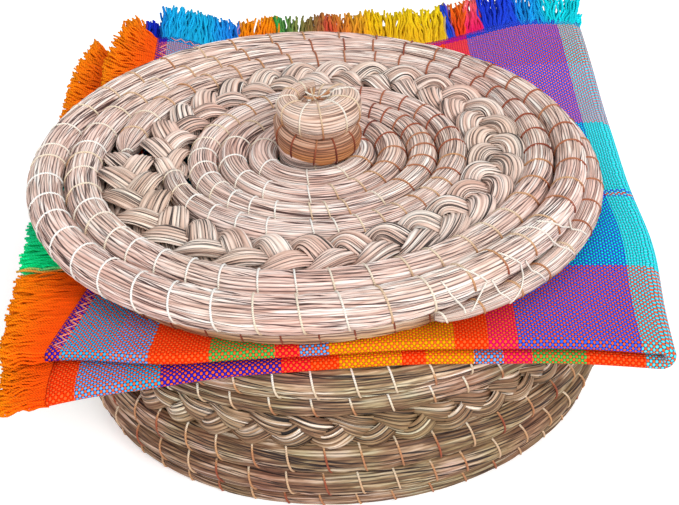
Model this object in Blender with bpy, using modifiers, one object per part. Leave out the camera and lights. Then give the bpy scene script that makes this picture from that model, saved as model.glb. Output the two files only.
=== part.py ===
# Tortilla basket: a coiled grass basket, its lid, and a napkin folded in quarters between them.
# Metres, +Z up. The origin is the middle of the basket's underside.
# All coils run clockwise, seen from above, from their inner or lower end.

import math

import bmesh
import bpy
import numpy as np

# Counts
LOOP_POINTS = 24
COIL_BEVEL_RESOLUTION = 1
BRAID_STRANDS = 3
BRAID_POINTS_PER_WAVE = 12
WALL_BRAID_WAVES = 11
LID_BRAID_WAVES = 10
PROFILE_SIDES = 6
MM_PER_METRE = 1000

# Clearances
ROUND_GAP = 0.0006
SEAT_GAP = 0.0003
FIBRE_GAP = 0.0006
CUT_OVERRUN = 0.02
WELD_DISTANCE = 0.00001

# Basket: its outside radius, how far the narrower rounds stand in from it, and each round's bundle
WALL_OUTER_RADIUS = 0.1205
FOOT_INSET = 0.0036
RIM_LOWER_INSET = 0.0025
FLOOR_BUNDLE = 0.0066
FLOOR_START_BUNDLE = 0.0020
FLOOR_START_RADIUS = 0.0024
FOOT_BUNDLE = 0.0046
WALL_LOWER_BUNDLE = 0.0068
WALL_UPPER_BUNDLE = 0.0080
RIM_LOWER_BUNDLE = 0.0060
RIM_UPPER_BUNDLE = 0.0072
FLAT_CUT_SHARE = 0.1
BASKET_WIDTH_SHARE = 1.055

# Braid of the wall
WALL_BRAID_HEIGHT = 0.0151
WALL_STRAND_WIDTH = 0.0050
WALL_STRAND_THICKNESS = 0.0044
WALL_BRAID_RISE = 0.0033

# Lid
LID_CENTRE_X = -0.0060
LID_CENTRE_Y = 0.0044
LID_CENTRE_BUNDLE = 0.0068
LID_START_BUNDLE = 0.0022
LID_START_RADIUS = 0.0026
LID_CENTRE_END_RADIUS = 0.0690
LID_CENTRE_END_ANGLE = math.radians(188)
LID_OUTER_BUNDLE = 0.0076
LID_OUTER_UNEVEN = 0.0009
LID_THICK_SIDE_ANGLE = math.radians(225)
LID_OUTER_START_ANGLE = math.radians(170)
LID_OUTER_TURNS = 2.667
LID_DROP_START_TURN = 2.125
LID_DROP_TURNS = 0.375
LID_DROP_ANGLE = math.radians(52)
LID_DROPPED_BUNDLE_SHARE = 0.9
LID_TAIL_TURNS = 1 / 6
LID_TAIL_SHARE = 0.3
LID_BRAID_WIDTH = 0.0228
LID_BRAID_START_ANGLE = math.radians(186)
LID_BRAID_TURNS = 1.02
LID_STRAND_WIDTH = 0.0068
LID_STRAND_THICKNESS = 0.0048
LID_BRAID_RISE = 0.0038
SEAT_RING_BUNDLE = 0.0065
SEAT_RING_OUTSET = 0.0433
SEAT_RING_SHIFT_X = -0.0040
SEAT_RING_SHIFT_Y = -0.0029
SEAT_RING_TURNS = 0.98

# Knob
KNOB_ROUND_GAP = 0.0014
KNOB_LOWER_BUNDLE = 0.0073
KNOB_UPPER_BUNDLE = 0.0079
KNOB_OUTER_RADIUS = 0.0210
KNOB_LOWER_INSET = 0.0012
KNOB_CORE_DIP = 0.0045
KNOB_CORE_DOME = 0.0022
KNOB_CORE_RINGS = 3

# Napkin, folded in quarters: two folded pairs of layers, joined along the right side
NAPKIN_LEFT_REACH = 0.1180
NAPKIN_RIGHT_REACH = 0.1350
NAPKIN_RIGHT_FLARE = 0.0100
NAPKIN_FRONT_REACH = 0.1155
NAPKIN_CORNER_REACH = 0.0080
NAPKIN_UPPER_FRONT_SETBACK = 0.0090
NAPKIN_BACK_REACH = 0.1620
NAPKIN_UPPER_SETBACK = 0.0060
NAPKIN_PAIR = 0.0066
NAPKIN_PAIR_GAP = 0.0010
NAPKIN_EDGE_ROUND = 0.0022
NAPKIN_SAG_START = 0.1190
NAPKIN_SAG_REACH = 0.0660
NAPKIN_SAG = 0.0030
NAPKIN_LEFT_FRONT_SAG = 0.0050
NAPKIN_SAG_POWER = 1.5
NAPKIN_ROWS = 14
NAPKIN_COLUMNS = 11
NAPKIN_BEND_COLUMNS = 5
NAPKIN_EDGE_SEGMENTS = 2
NAPKIN_EDGE_ANGLE = math.radians(60)
FRINGE_LEFT_LENGTH = 0.0290
FRINGE_BACK_LENGTH = 0.0450
FRINGE_NOTCH = 0.0110
FRINGE_THICKNESS = 0.0030
FRINGE_TASSEL = 0.0180

# Turns and shares of the coils' ends
STACK_CLIMB_TURNS = 0.5
KNOB_CLIMB_TURNS = 0.75
STACK_TIP_SHARE = 1 / 3
STACK_MARGIN_SHARE = 0.12
START_THICKEN_TURNS = 1.5
COIL_END_TURNS = 2 / LOOP_POINTS
COIL_END_SHARE = 0.55
BRAID_END_SHARE = 0.62
BRAID_WIDEN_TURNS = 0.16
BRAID_NARROW_TURNS = 0.03

# Shape of a bundle's six-sided section: its flats lie above and below, its corners at the sides
FLAT_SHARE = math.cos(math.pi / PROFILE_SIDES)
CORNER_SHARE = math.sin(math.pi / PROFILE_SIDES)
CHORD_SHARE = math.cos(math.pi / LOOP_POINTS)
FLOOR_CUT = 2 * FLOOR_BUNDLE * FLAT_CUT_SHARE


def clear_scene():
    for item in list(bpy.data.objects):
        bpy.data.objects.remove(item)


def collection(name):
    made = bpy.data.collections.new(name)
    bpy.context.scene.collection.children.link(made)
    return made


def material(name, colour, roughness):
    made = bpy.data.materials.new(name)
    made.use_nodes = True
    shader = made.node_tree.nodes["Principled BSDF"]
    shader.inputs["Base Color"].default_value = (*colour, 1)
    shader.inputs["Roughness"].default_value = roughness
    shader.inputs["Metallic"].default_value = 0
    made.diffuse_color = (*colour, 1)
    return made


def add_object(name, data, home, finish):
    made = bpy.data.objects.new(name, data)
    home.objects.link(made)
    if finish:
        data.materials.append(finish)
    return made


# Heights of the rounds, each seated on the one below

def flat_half(bundle):
    return bundle * FLAT_SHARE


def stack_heights(bottom, bundles, gap):
    heights = []
    for bundle in bundles:
        heights.append(bottom + flat_half(bundle))
        bottom = bottom + 2 * flat_half(bundle) + gap
    return heights, bottom - gap


WALL_BUNDLES = [FOOT_BUNDLE, WALL_LOWER_BUNDLE, WALL_UPPER_BUNDLE]
WALL_HEIGHTS, WALL_TOP = stack_heights(-FLOOR_CUT, WALL_BUNDLES, ROUND_GAP)
WALL_RADII = [WALL_OUTER_RADIUS - FOOT_INSET - FOOT_BUNDLE, WALL_OUTER_RADIUS - WALL_LOWER_BUNDLE,
              WALL_OUTER_RADIUS - WALL_UPPER_BUNDLE]
WALL_BRAID_MIDDLE = WALL_TOP + ROUND_GAP + WALL_BRAID_HEIGHT / 2
RIM_BOTTOM = WALL_TOP + WALL_BRAID_HEIGHT + 2 * ROUND_GAP
RIM_BUNDLES = [RIM_LOWER_BUNDLE, RIM_UPPER_BUNDLE]
RIM_HEIGHTS, RIM_TOP = stack_heights(RIM_BOTTOM, RIM_BUNDLES, ROUND_GAP)
RIM_RADII = [WALL_OUTER_RADIUS - RIM_LOWER_INSET - RIM_LOWER_BUNDLE, WALL_OUTER_RADIUS - RIM_UPPER_BUNDLE]
WALL_BRAID_RADIUS = (WALL_RADII[-1] + RIM_RADII[0]) / 2

NAPKIN_LOWER_MIDDLE = RIM_TOP + SEAT_GAP + NAPKIN_PAIR / 2
NAPKIN_UPPER_MIDDLE = NAPKIN_LOWER_MIDDLE + NAPKIN_PAIR + NAPKIN_PAIR_GAP
NAPKIN_TOP = NAPKIN_UPPER_MIDDLE + NAPKIN_PAIR / 2

SEAT_RING_HEIGHT = NAPKIN_TOP + SEAT_GAP + flat_half(SEAT_RING_BUNDLE)
LID_HEIGHT = SEAT_RING_HEIGHT + flat_half(SEAT_RING_BUNDLE + LID_OUTER_BUNDLE + LID_OUTER_UNEVEN) + ROUND_GAP
LID_CENTRE = (LID_CENTRE_X, LID_CENTRE_Y)
LID_PITCH = 2 * LID_CENTRE_BUNDLE + ROUND_GAP

KNOB_BOTTOM = LID_HEIGHT + flat_half(LID_CENTRE_BUNDLE) + SEAT_GAP
KNOB_BUNDLES = [KNOB_LOWER_BUNDLE, KNOB_UPPER_BUNDLE]
KNOB_HEIGHTS, KNOB_TOP = stack_heights(KNOB_BOTTOM, KNOB_BUNDLES, KNOB_ROUND_GAP)
KNOB_RADII = [KNOB_OUTER_RADIUS - KNOB_LOWER_INSET - KNOB_LOWER_BUNDLE, KNOB_OUTER_RADIUS - KNOB_UPPER_BUNDLE]


# Coils

def round_points(radius, angle, height, centre=(0, 0)):
    x = centre[0] + radius * np.cos(angle)
    y = centre[1] + radius * np.sin(angle)
    return np.stack([x, y, np.broadcast_to(height, x.shape)], axis=-1)


def widened(points):
    # The basket is a little wider from side to side than from front to back.
    return points * np.array([BASKET_WIDTH_SHARE, 1, 1])


def widening(angle):
    # How far apart the widening sets the turns of a flat spiral, as a share of their pitch.
    return 1 / np.hypot(np.cos(angle) / BASKET_WIDTH_SHARE, np.sin(angle))


def end_taper(left):
    # The bundle thins over the last points; left is the turns that remain to the end.
    near = np.clip(left / COIL_END_TURNS, 0, 1)
    return COIL_END_SHARE + (1 - COIL_END_SHARE) * near


def report_gap(name, points, radii):
    # At every point the turns beside it are compared in the plane square to the bundle. Their
    # sections have level flats and corners at the sides, so the gap is the larger of the two
    # taken square to those faces.
    along = np.gradient(points, axis=0)
    reach = np.linalg.norm(along, axis=-1)
    along = along / reach[:, None]
    offset = points[None, :, :] - points[:, None, :]
    ahead = np.einsum("ijk,ik->ij", offset, along)
    offset = np.abs(offset - ahead[..., None] * along[:, None, :])
    sideways = np.hypot(offset[..., 0], offset[..., 1])
    slanting = FLAT_SHARE * sideways + CORNER_SHARE * offset[..., 2]
    gap = np.maximum(slanting, offset[..., 2]) - FLAT_SHARE * (radii[:, None] + radii[None, :])
    index = np.arange(len(points))
    apart = np.abs(index[:, None] - index[None, :]) >= LOOP_POINTS / 2
    beside = apart & (np.abs(ahead) <= reach[:, None] / 2)
    print(name, "least gap to itself", round(float(gap[beside].min()) * MM_PER_METRE, 2), "mm")


def spiral_outwards(end_radius, bundle, start_bundle, start_radius):
    # As many points as fit between the smallest start radius and the spiral's outer end.
    count = LOOP_POINTS
    best = None
    while True:
        passed = np.arange(count + 1) / LOOP_POINTS
        thick = start_bundle + (bundle - start_bundle) * np.clip(passed / START_THICKEN_TURNS, 0, 1)
        steps = (thick[1:] + thick[:-1] + ROUND_GAP) / LOOP_POINTS
        radius = end_radius - np.append(np.cumsum(steps[::-1])[::-1], 0)
        if radius[0] < start_radius:
            return best
        best = (passed, radius, thick)
        count += 1


def stacked_coil(radii, heights, bundles, low, high, climb_turns):
    # Each round stays level round the front and climbs to the next one round the back.
    # The first round swells from a thin start under its own climb, and the last one tapers over it.
    rounds = len(radii)
    tip = climb_turns * STACK_TIP_SHARE
    first = tip - climb_turns
    count = round((rounds - tip - first) * LOOP_POINTS)
    passed = first + np.arange(count + 1) / LOOP_POINTS
    whole = np.floor(passed)
    climb = np.clip((passed - whole - (1 - climb_turns)) / climb_turns, 0, 1)
    level = np.clip(whole + climb, 0, rounds - 1)
    steps = np.arange(rounds)
    radius = np.interp(level, steps, radii)
    height = np.interp(level, steps, heights)
    bundle = np.interp(level, steps, bundles)
    swell = np.clip((passed + climb_turns) / climb_turns, 0, 1)
    fade = np.clip((rounds - passed) / climb_turns, 0, 1)
    swell = swell - STACK_MARGIN_SHARE * (1 - swell)
    fade = fade - STACK_MARGIN_SHARE * (1 - fade)
    height = np.where(swell < 1, low + (height - low) * swell, height)
    height = np.where(fade < 1, high - (high - height) * fade, height)
    return round_points(radius, -2 * math.pi * passed, height), bundle * swell * fade


def tube(name, points, radii, home, finish, profile=None, closed=False):
    # Without a profile the radii are the bundle's; with one they scale the profile.
    curve = bpy.data.curves.new(name, "CURVE")
    curve.dimensions = "3D"
    curve.twist_mode = "Z_UP"
    curve.resolution_u = 1
    curve.use_fill_caps = not closed
    shares = radii
    if profile:
        curve.bevel_mode = "OBJECT"
        curve.bevel_object = profile
    else:
        largest = float(np.max(radii))
        curve.bevel_depth = largest
        curve.bevel_resolution = COIL_BEVEL_RESOLUTION
        shares = radii / largest
    spline = curve.splines.new("POLY")
    spline.points.add(len(points) - 1)
    for point, place, share in zip(spline.points, points, shares):
        point.co = (*place, 1)
        point.radius = float(share)
    spline.use_cyclic_u = closed
    return add_object(name, curve, home, finish)


def section(name, half_width, half_height, first_corner, home):
    # The outline runs clockwise, which turns the tube's skin outwards.
    curve = bpy.data.curves.new(name, "CURVE")
    curve.dimensions = "2D"
    curve.resolution_u = 1
    spline = curve.splines.new("POLY")
    spline.points.add(PROFILE_SIDES - 1)
    for index, point in enumerate(spline.points):
        turn = first_corner - 2 * math.pi * index / PROFILE_SIDES
        point.co = (half_width * math.cos(turn), half_height * math.sin(turn), 0, 1)
    spline.use_cyclic_u = True
    made = add_object(name, curve, home, None)
    made.hide_render = True
    made.display_type = "WIRE"
    return made


def as_mesh(item, home):
    # The curve's evaluated shape becomes a mesh, with its end caps welded on.
    graph = bpy.context.evaluated_depsgraph_get()
    data = bpy.data.meshes.new_from_object(item.evaluated_get(graph))
    edit = bmesh.new()
    edit.from_mesh(data)
    bmesh.ops.remove_doubles(edit, verts=edit.verts, dist=WELD_DISTANCE)
    edit.to_mesh(data)
    edit.free()
    name = item.name
    made = bpy.data.objects.new(name + "_mesh", data)
    home.objects.link(made)
    made.matrix_world = item.matrix_world
    bpy.data.objects.remove(item)
    made.name = name
    return made


def cut_flat(item, cutters):
    # The underside is cut level where the coil stands on the table.
    bpy.ops.mesh.primitive_cube_add(size=1)
    block = bpy.context.object
    block.name = item.name + "_ground_cut"
    side = 2 * (WALL_OUTER_RADIUS + CUT_OVERRUN)
    block.scale = (side, side, CUT_OVERRUN)
    block.location = (0, 0, -CUT_OVERRUN / 2)
    for home in list(block.users_collection):
        home.objects.unlink(block)
    cutters.objects.link(block)
    block.hide_render = True
    block.display_type = "WIRE"
    trim = item.modifiers.new("ground_cut", "BOOLEAN")
    trim.operation = "DIFFERENCE"
    trim.solver = "EXACT"
    trim.object = block


# Basket

def floor_coil(home, cutters, finish):
    # The spiral's last turn tapers into the wedge that is left inside the foot round.
    edge = WALL_RADII[0] - FOOT_BUNDLE - ROUND_GAP
    radius, thick = spiral_outwards(edge - FLOOR_BUNDLE, FLOOR_BUNDLE, FLOOR_START_BUNDLE,
                                    FLOOR_START_RADIUS)[1:]
    radius = list(radius)
    thick = list(thick)
    while True:
        inner = radius[-LOOP_POINTS] + thick[-LOOP_POINTS] + ROUND_GAP
        half = (edge - inner) / 2
        if half < FLOOR_START_BUNDLE:
            break
        radius.append(inner + half)
        thick.append(half)
    radius = np.array(radius)
    thick = np.array(thick)
    angle = -2 * math.pi * np.arange(len(radius)) / LOOP_POINTS
    thick = thick * widening(angle)
    points = widened(round_points(radius, angle, flat_half(thick) - FLOOR_CUT))
    report_gap("floor_coil", points, thick)
    cut_flat(as_mesh(tube("floor_coil", points, thick, home, finish), home), cutters)


def wall_coil(home, cutters, finish):
    points, radii = stacked_coil(WALL_RADII, WALL_HEIGHTS, WALL_BUNDLES, -FLOOR_CUT, WALL_TOP,
                                 STACK_CLIMB_TURNS)
    points = widened(points)
    report_gap("wall_coil", points, radii)
    cut_flat(as_mesh(tube("wall_coil", points, radii, home, finish), home), cutters)


def wall_braid(home, cutters, finish):
    # Across the band a strand follows a sine, and it comes forward and goes back twice as often.
    profile = section("wall_strand_section", WALL_STRAND_THICKNESS / 2, WALL_STRAND_WIDTH / 2,
                      math.pi / PROFILE_SIDES, cutters)
    reach = (WALL_BRAID_HEIGHT - WALL_STRAND_WIDTH) / 2
    count = WALL_BRAID_WAVES * BRAID_POINTS_PER_WAVE
    passed = np.arange(count) / count
    for strand in range(BRAID_STRANDS):
        wave = 2 * math.pi * (WALL_BRAID_WAVES * passed + strand / BRAID_STRANDS)
        radius = WALL_BRAID_RADIUS + WALL_BRAID_RISE * np.sin(2 * wave)
        height = WALL_BRAID_MIDDLE + reach * np.sin(wave)
        points = widened(round_points(radius, -2 * math.pi * passed, height))
        name = f"wall_braid_strand_{strand + 1}"
        tube(name, points, np.ones(count), home, finish, profile, closed=True)


def rim_coil(home, finish):
    points, radii = stacked_coil(RIM_RADII, RIM_HEIGHTS, RIM_BUNDLES, RIM_BOTTOM, RIM_TOP, STACK_CLIMB_TURNS)
    points = widened(points)
    report_gap("rim_coil", points, radii)
    tube("rim_coil", points, radii, home, finish)


# Lid

def outer_bundle(angle):
    return LID_OUTER_BUNDLE + LID_OUTER_UNEVEN * np.cos(angle - LID_THICK_SIDE_ANGLE)


def braid_half_width(passed):
    # The braid starts narrow, widens slowly, and narrows again just before its end.
    widen = np.clip(passed / BRAID_WIDEN_TURNS, 0, 1)
    narrow = np.clip((LID_BRAID_TURNS - passed) / BRAID_NARROW_TURNS, 0, 1)
    return LID_BRAID_WIDTH / 2 * (BRAID_END_SHARE + (1 - BRAID_END_SHARE) * np.minimum(widen, narrow))


def braid_inner_radius(passed):
    # The braid lies against the spiral's edge, and its far end passes outside the spiral's end.
    lead = (LID_CENTRE_END_ANGLE - LID_BRAID_START_ANGLE) / (2 * math.pi)
    start = LID_CENTRE_END_RADIUS + LID_CENTRE_BUNDLE + FIBRE_GAP - LID_PITCH * (1 - lead)
    return start + LID_PITCH * passed


def outer_start_radius(passed, angle):
    # The flat sides of the first outer turn clear the braid at every angle.
    first = passed < 1
    lead = (LID_BRAID_START_ANGLE - LID_OUTER_START_ANGLE) / (2 * math.pi)
    along = np.minimum(passed[first] + lead, LID_BRAID_TURNS)
    braid_edge = braid_inner_radius(along) + 2 * braid_half_width(along)
    bundle = outer_bundle(angle[first])
    needed = (braid_edge + FIBRE_GAP) / CHORD_SHARE + bundle - passed[first] * (2 * bundle + ROUND_GAP)
    return float(needed.max())


def lid_centre_coil(home, finish):
    # The tops of all its turns are level, the thin ones of the start as well.
    passed, radius, thick = spiral_outwards(LID_CENTRE_END_RADIUS, LID_CENTRE_BUNDLE, LID_START_BUNDLE,
                                            LID_START_RADIUS)
    angle = LID_CENTRE_END_ANGLE + 2 * math.pi * (passed[-1] - passed)
    height = LID_HEIGHT + flat_half(LID_CENTRE_BUNDLE - thick)
    radii = thick * end_taper(passed[-1] - passed)
    points = round_points(radius, angle, height, LID_CENTRE)
    report_gap("lid_centre_coil", points, radii)
    tube("lid_centre_coil", points, radii, home, finish)


def lid_braid(home, cutters, finish):
    profile = section("lid_strand_section", LID_STRAND_WIDTH / 2, LID_STRAND_THICKNESS / 2, 0, cutters)
    count = LID_BRAID_WAVES * BRAID_POINTS_PER_WAVE
    passed = LID_BRAID_TURNS * np.arange(count + 1) / count
    half = braid_half_width(passed)
    share = 2 * half / LID_BRAID_WIDTH
    middle = braid_inner_radius(passed) + half
    angle = LID_BRAID_START_ANGLE - 2 * math.pi * passed
    reach = half - share * LID_STRAND_WIDTH / 2
    for strand in range(BRAID_STRANDS):
        wave = 2 * math.pi * (LID_BRAID_WAVES * passed / LID_BRAID_TURNS + strand / BRAID_STRANDS)
        radius = middle + reach * np.sin(wave)
        height = LID_HEIGHT + share * LID_BRAID_RISE * np.sin(2 * wave)
        points = round_points(radius, angle, height, LID_CENTRE)
        tube(f"lid_braid_strand_{strand + 1}", points, share, home, finish, profile)


def lid_outer_path():
    # Near its end the coil slips down and out round the edge of the turn inside it, and thins
    # into a tail that stays against that turn.
    count = round(LID_OUTER_TURNS * LOOP_POINTS)
    passed = np.arange(count + 1) / LOOP_POINTS
    angle = LID_OUTER_START_ANGLE - 2 * math.pi * passed
    bundle = outer_bundle(angle)
    step = 2 * bundle + ROUND_GAP
    inner_radius = outer_start_radius(passed, angle) + (passed - 1) * step
    drop = np.clip((passed - LID_DROP_START_TURN) / LID_DROP_TURNS, 0, 1)
    ease = drop * drop * (3 - 2 * drop)
    turned = LID_DROP_ANGLE * ease
    tail = np.sqrt(np.clip((passed[-1] - passed) / LID_TAIL_TURNS, 0, 1))
    radii = bundle * (LID_TAIL_SHARE + (1 - LID_TAIL_SHARE) * tail)
    radii = radii * (1 - (1 - LID_DROPPED_BUNDLE_SHARE) * ease)
    reach = bundle + radii + ROUND_GAP
    radius = inner_radius + reach * np.cos(turned)
    height = LID_HEIGHT - reach * np.sin(turned)
    return radius, angle, height, radii * end_taper(passed)


def lid_outer_coil(home, finish):
    radius, angle, height, radii = lid_outer_path()
    points = round_points(radius, angle, height, LID_CENTRE)
    report_gap("lid_outer_coil", points, radii)
    tube("lid_outer_coil", points, radii, home, finish)


def lid_seat_ring(home, finish):
    # One round under the lid's outer coil and above the basket's rim, its two ends a little apart.
    ring_radius = LID_CENTRE_END_RADIUS + SEAT_RING_OUTSET
    passed = SEAT_RING_TURNS * np.arange(LOOP_POINTS + 1) / LOOP_POINTS
    angle = math.pi / 2 - 2 * math.pi * passed
    centre = (LID_CENTRE_X + SEAT_RING_SHIFT_X, LID_CENTRE_Y + SEAT_RING_SHIFT_Y)
    points = round_points(ring_radius, angle, SEAT_RING_HEIGHT, centre)
    apart = float(np.linalg.norm(points[0] - points[-1]))
    print("lid_seat_ring", "gap between its two ends", round(apart * MM_PER_METRE, 2), "mm")
    tube("lid_seat_ring", points, np.full(len(points), SEAT_RING_BUNDLE), home, finish)


def knob_coil(home, finish):
    points, radii = stacked_coil(KNOB_RADII, KNOB_HEIGHTS, KNOB_BUNDLES, KNOB_BOTTOM, KNOB_TOP,
                                 KNOB_CLIMB_TURNS)
    points = points + np.array([*LID_CENTRE, 0])
    report_gap("knob_coil", points, radii)
    tube("knob_coil", points, radii, home, finish)


def knob_core(home, finish):
    # A short stub of bundle stands in the middle of the knob, with a domed end.
    top = KNOB_TOP - KNOB_CORE_DIP
    radius = (min(KNOB_RADII) - max(KNOB_BUNDLES)) * CHORD_SHARE - FIBRE_GAP
    outline = []
    for ring in range(KNOB_CORE_RINGS + 1):
        share = ring / KNOB_CORE_RINGS
        outline.append((radius * share, 0, top - KNOB_CORE_DOME * share ** 2))
    outline += [(radius, 0, KNOB_BOTTOM), (0, 0, KNOB_BOTTOM)]
    data = bpy.data.meshes.new("knob_core")
    data.from_pydata(outline, [(i, i + 1) for i in range(len(outline) - 1)], [])
    made = add_object("knob_core", data, home, finish)
    made.location = (*LID_CENTRE, 0)
    turn = made.modifiers.new("turn", "SCREW")
    turn.steps = LOOP_POINTS
    turn.render_steps = LOOP_POINTS
    turn.use_merge_vertices = True
    turn.merge_threshold = WELD_DISTANCE


# Napkin

def napkin_surface(x, y, middle):
    # The cloth widens to the right towards the back, its front corners reach forward, and it sags
    # past the basket's rim. At the front left the upper pair stands back and the lower one sags most.
    width = NAPKIN_LEFT_REACH + NAPKIN_RIGHT_REACH - NAPKIN_PAIR
    length = NAPKIN_FRONT_REACH + NAPKIN_BACK_REACH
    across = np.clip((x + NAPKIN_LEFT_REACH) / width, 0, 1)
    level = (middle - NAPKIN_LOWER_MIDDLE) / (NAPKIN_UPPER_MIDDLE - NAPKIN_LOWER_MIDDLE)
    front = np.clip(-y / NAPKIN_FRONT_REACH, 0, 1)
    x = x + NAPKIN_RIGHT_FLARE * across * (y + NAPKIN_FRONT_REACH) / length
    y = y - NAPKIN_CORNER_REACH * front * (x / NAPKIN_LEFT_REACH) ** 2
    y = y + NAPKIN_UPPER_FRONT_SETBACK * front * level * (1 - across)
    past = np.clip((np.hypot(x, y) - NAPKIN_SAG_START) / NAPKIN_SAG_REACH, 0, None)
    corner = np.clip(-x / NAPKIN_LEFT_REACH, 0, 1) * front * (1 - level)
    sag = (NAPKIN_SAG + NAPKIN_LEFT_FRONT_SAG * corner) * past ** NAPKIN_SAG_POWER
    return np.stack([x, y, middle - sag], axis=-1)


def grid_mesh(name, points):
    rows, columns = points.shape[:2]
    faces = []
    for row in range(rows - 1):
        for column in range(columns - 1):
            first = row * columns + column
            faces.append((first, first + 1, first + columns + 1, first + columns))
    data = bpy.data.meshes.new(name)
    data.from_pydata([tuple(place) for place in points.reshape(-1, 3)], [], faces)
    return data


def thicken(item, thickness):
    skin = item.modifiers.new("thickness", "SOLIDIFY")
    skin.thickness = thickness
    skin.offset = 0


def folded_napkin(home, finish):
    # One thick sheet runs in from the left, turns over at the right side and comes back underneath.
    turn_radius = (NAPKIN_PAIR + NAPKIN_PAIR_GAP) / 2
    turn_x = NAPKIN_RIGHT_REACH - turn_radius - NAPKIN_PAIR / 2
    middle = (NAPKIN_LOWER_MIDDLE + NAPKIN_UPPER_MIDDLE) / 2
    y = np.linspace(-NAPKIN_FRONT_REACH, NAPKIN_BACK_REACH, NAPKIN_ROWS)
    over = np.linspace(NAPKIN_UPPER_SETBACK - NAPKIN_LEFT_REACH, turn_x, NAPKIN_COLUMNS)
    under = np.linspace(turn_x, -NAPKIN_LEFT_REACH, NAPKIN_COLUMNS)
    bend = np.linspace(math.pi / 2, -math.pi / 2, NAPKIN_BEND_COLUMNS + 2)[1:-1]
    x = np.concatenate([over, turn_x + turn_radius * np.cos(bend), under])
    z = np.concatenate([np.full(NAPKIN_COLUMNS, NAPKIN_UPPER_MIDDLE), middle + turn_radius * np.sin(bend),
                        np.full(NAPKIN_COLUMNS, NAPKIN_LOWER_MIDDLE)])
    grid_x, grid_y = np.meshgrid(x, y)
    points = napkin_surface(grid_x, grid_y, np.broadcast_to(z, grid_x.shape))
    made = add_object("folded_napkin", grid_mesh("folded_napkin", points), home, finish)
    thicken(made, NAPKIN_PAIR)
    soft = made.modifiers.new("soft_edges", "BEVEL")
    soft.width = NAPKIN_EDGE_ROUND
    soft.segments = NAPKIN_EDGE_SEGMENTS
    soft.limit_method = "ANGLE"
    soft.angle_limit = NAPKIN_EDGE_ANGLE


def fringe_along(low, high, edge, length):
    # Notches part the tassels along the cloth's open edge; length is negative towards the left.
    tassels = round((high - low) / FRINGE_TASSEL)
    along = np.linspace(low, high, 2 * tassels + 1)
    notch = np.where(np.arange(len(along)) % 2 == 0, FRINGE_NOTCH, 0)
    inner = np.full(len(along), edge + math.copysign(SEAT_GAP, length))
    outer = edge + length - math.copysign(1, length) * notch
    return np.stack([along, along]), np.stack([inner, outer])


def fringes(home, finish):
    for label, middle, left in (("upper", NAPKIN_UPPER_MIDDLE, NAPKIN_UPPER_SETBACK - NAPKIN_LEFT_REACH),
                                ("lower", NAPKIN_LOWER_MIDDLE, -NAPKIN_LEFT_REACH)):
        y, x = fringe_along(-NAPKIN_FRONT_REACH, NAPKIN_BACK_REACH, left, -FRINGE_LEFT_LENGTH)
        data = grid_mesh(f"left_fringe_{label}", napkin_surface(x, y, middle))
        thicken(add_object(data.name, data, home, finish), FRINGE_THICKNESS)
        x, y = fringe_along(left, NAPKIN_RIGHT_REACH - NAPKIN_PAIR, NAPKIN_BACK_REACH, FRINGE_BACK_LENGTH)
        data = grid_mesh(f"back_fringe_{label}", napkin_surface(x, y, middle))
        thicken(add_object(data.name, data, home, finish), FRINGE_THICKNESS)


def main():
    clear_scene()
    home = collection("tortilla_basket")
    cutters = collection("cutters")
    base_grass = material("base_grass", (0.46, 0.33, 0.20), 0.7)
    lid_grass = material("lid_grass", (0.67, 0.49, 0.38), 0.65)
    braid_grass = material("braid_grass", (0.62, 0.44, 0.31), 0.65)
    knob_grass = material("knob_grass", (0.62, 0.40, 0.22), 0.6)
    cotton = material("plaid_cotton", (0.80, 0.16, 0.05), 0.9)
    yarn = material("fringe_yarn", (0.90, 0.18, 0.03), 0.95)
    floor_coil(home, cutters, base_grass)
    wall_coil(home, cutters, base_grass)
    wall_braid(home, cutters, braid_grass)
    rim_coil(home, base_grass)
    folded_napkin(home, cotton)
    fringes(home, yarn)
    lid_seat_ring(home, lid_grass)
    lid_centre_coil(home, lid_grass)
    lid_braid(home, cutters, braid_grass)
    lid_outer_coil(home, lid_grass)
    knob_core(home, knob_grass)
    knob_coil(home, knob_grass)


main()
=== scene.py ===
import math

import bpy
import numpy as np
from mathutils import Matrix


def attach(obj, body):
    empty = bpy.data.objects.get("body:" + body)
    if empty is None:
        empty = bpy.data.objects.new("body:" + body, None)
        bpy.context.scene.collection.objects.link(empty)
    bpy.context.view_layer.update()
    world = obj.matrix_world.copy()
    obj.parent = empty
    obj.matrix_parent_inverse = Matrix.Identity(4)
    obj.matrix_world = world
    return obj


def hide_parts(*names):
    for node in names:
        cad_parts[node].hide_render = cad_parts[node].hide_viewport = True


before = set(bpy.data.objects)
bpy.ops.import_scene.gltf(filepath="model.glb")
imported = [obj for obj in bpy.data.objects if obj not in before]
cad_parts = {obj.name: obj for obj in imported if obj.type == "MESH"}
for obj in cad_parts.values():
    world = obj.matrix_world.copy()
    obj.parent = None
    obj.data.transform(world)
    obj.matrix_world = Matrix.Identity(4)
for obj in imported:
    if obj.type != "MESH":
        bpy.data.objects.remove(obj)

scene = bpy.context.scene
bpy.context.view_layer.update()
mm = 0.001
up = np.array([0.0, 0.0, 1.0])
fullTurn = 2 * np.pi
seam = 0.6 * mm                     # gap between two rounds of a coil, where the thread runs
spiralSteps = 24                    # steps a turn in which a flat spiral is worked out
print("frame loaded:", len(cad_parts), "nodes")


# meshes from arrays

def unit(vectors):
    # each vector divided by its own length
    return vectors / np.linalg.norm(vectors, axis=-1, keepdims=True)


def ease(share):
    # 0 to 1 with level ends: 3t² - 2t³
    share = np.clip(share, 0, 1)
    return share * share * (3 - 2 * share)


def easeFrom(value, start, over):
    # an eased rise from 0 at the start to 1 where the value has passed the length over
    return ease((value - start) / over)


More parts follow.
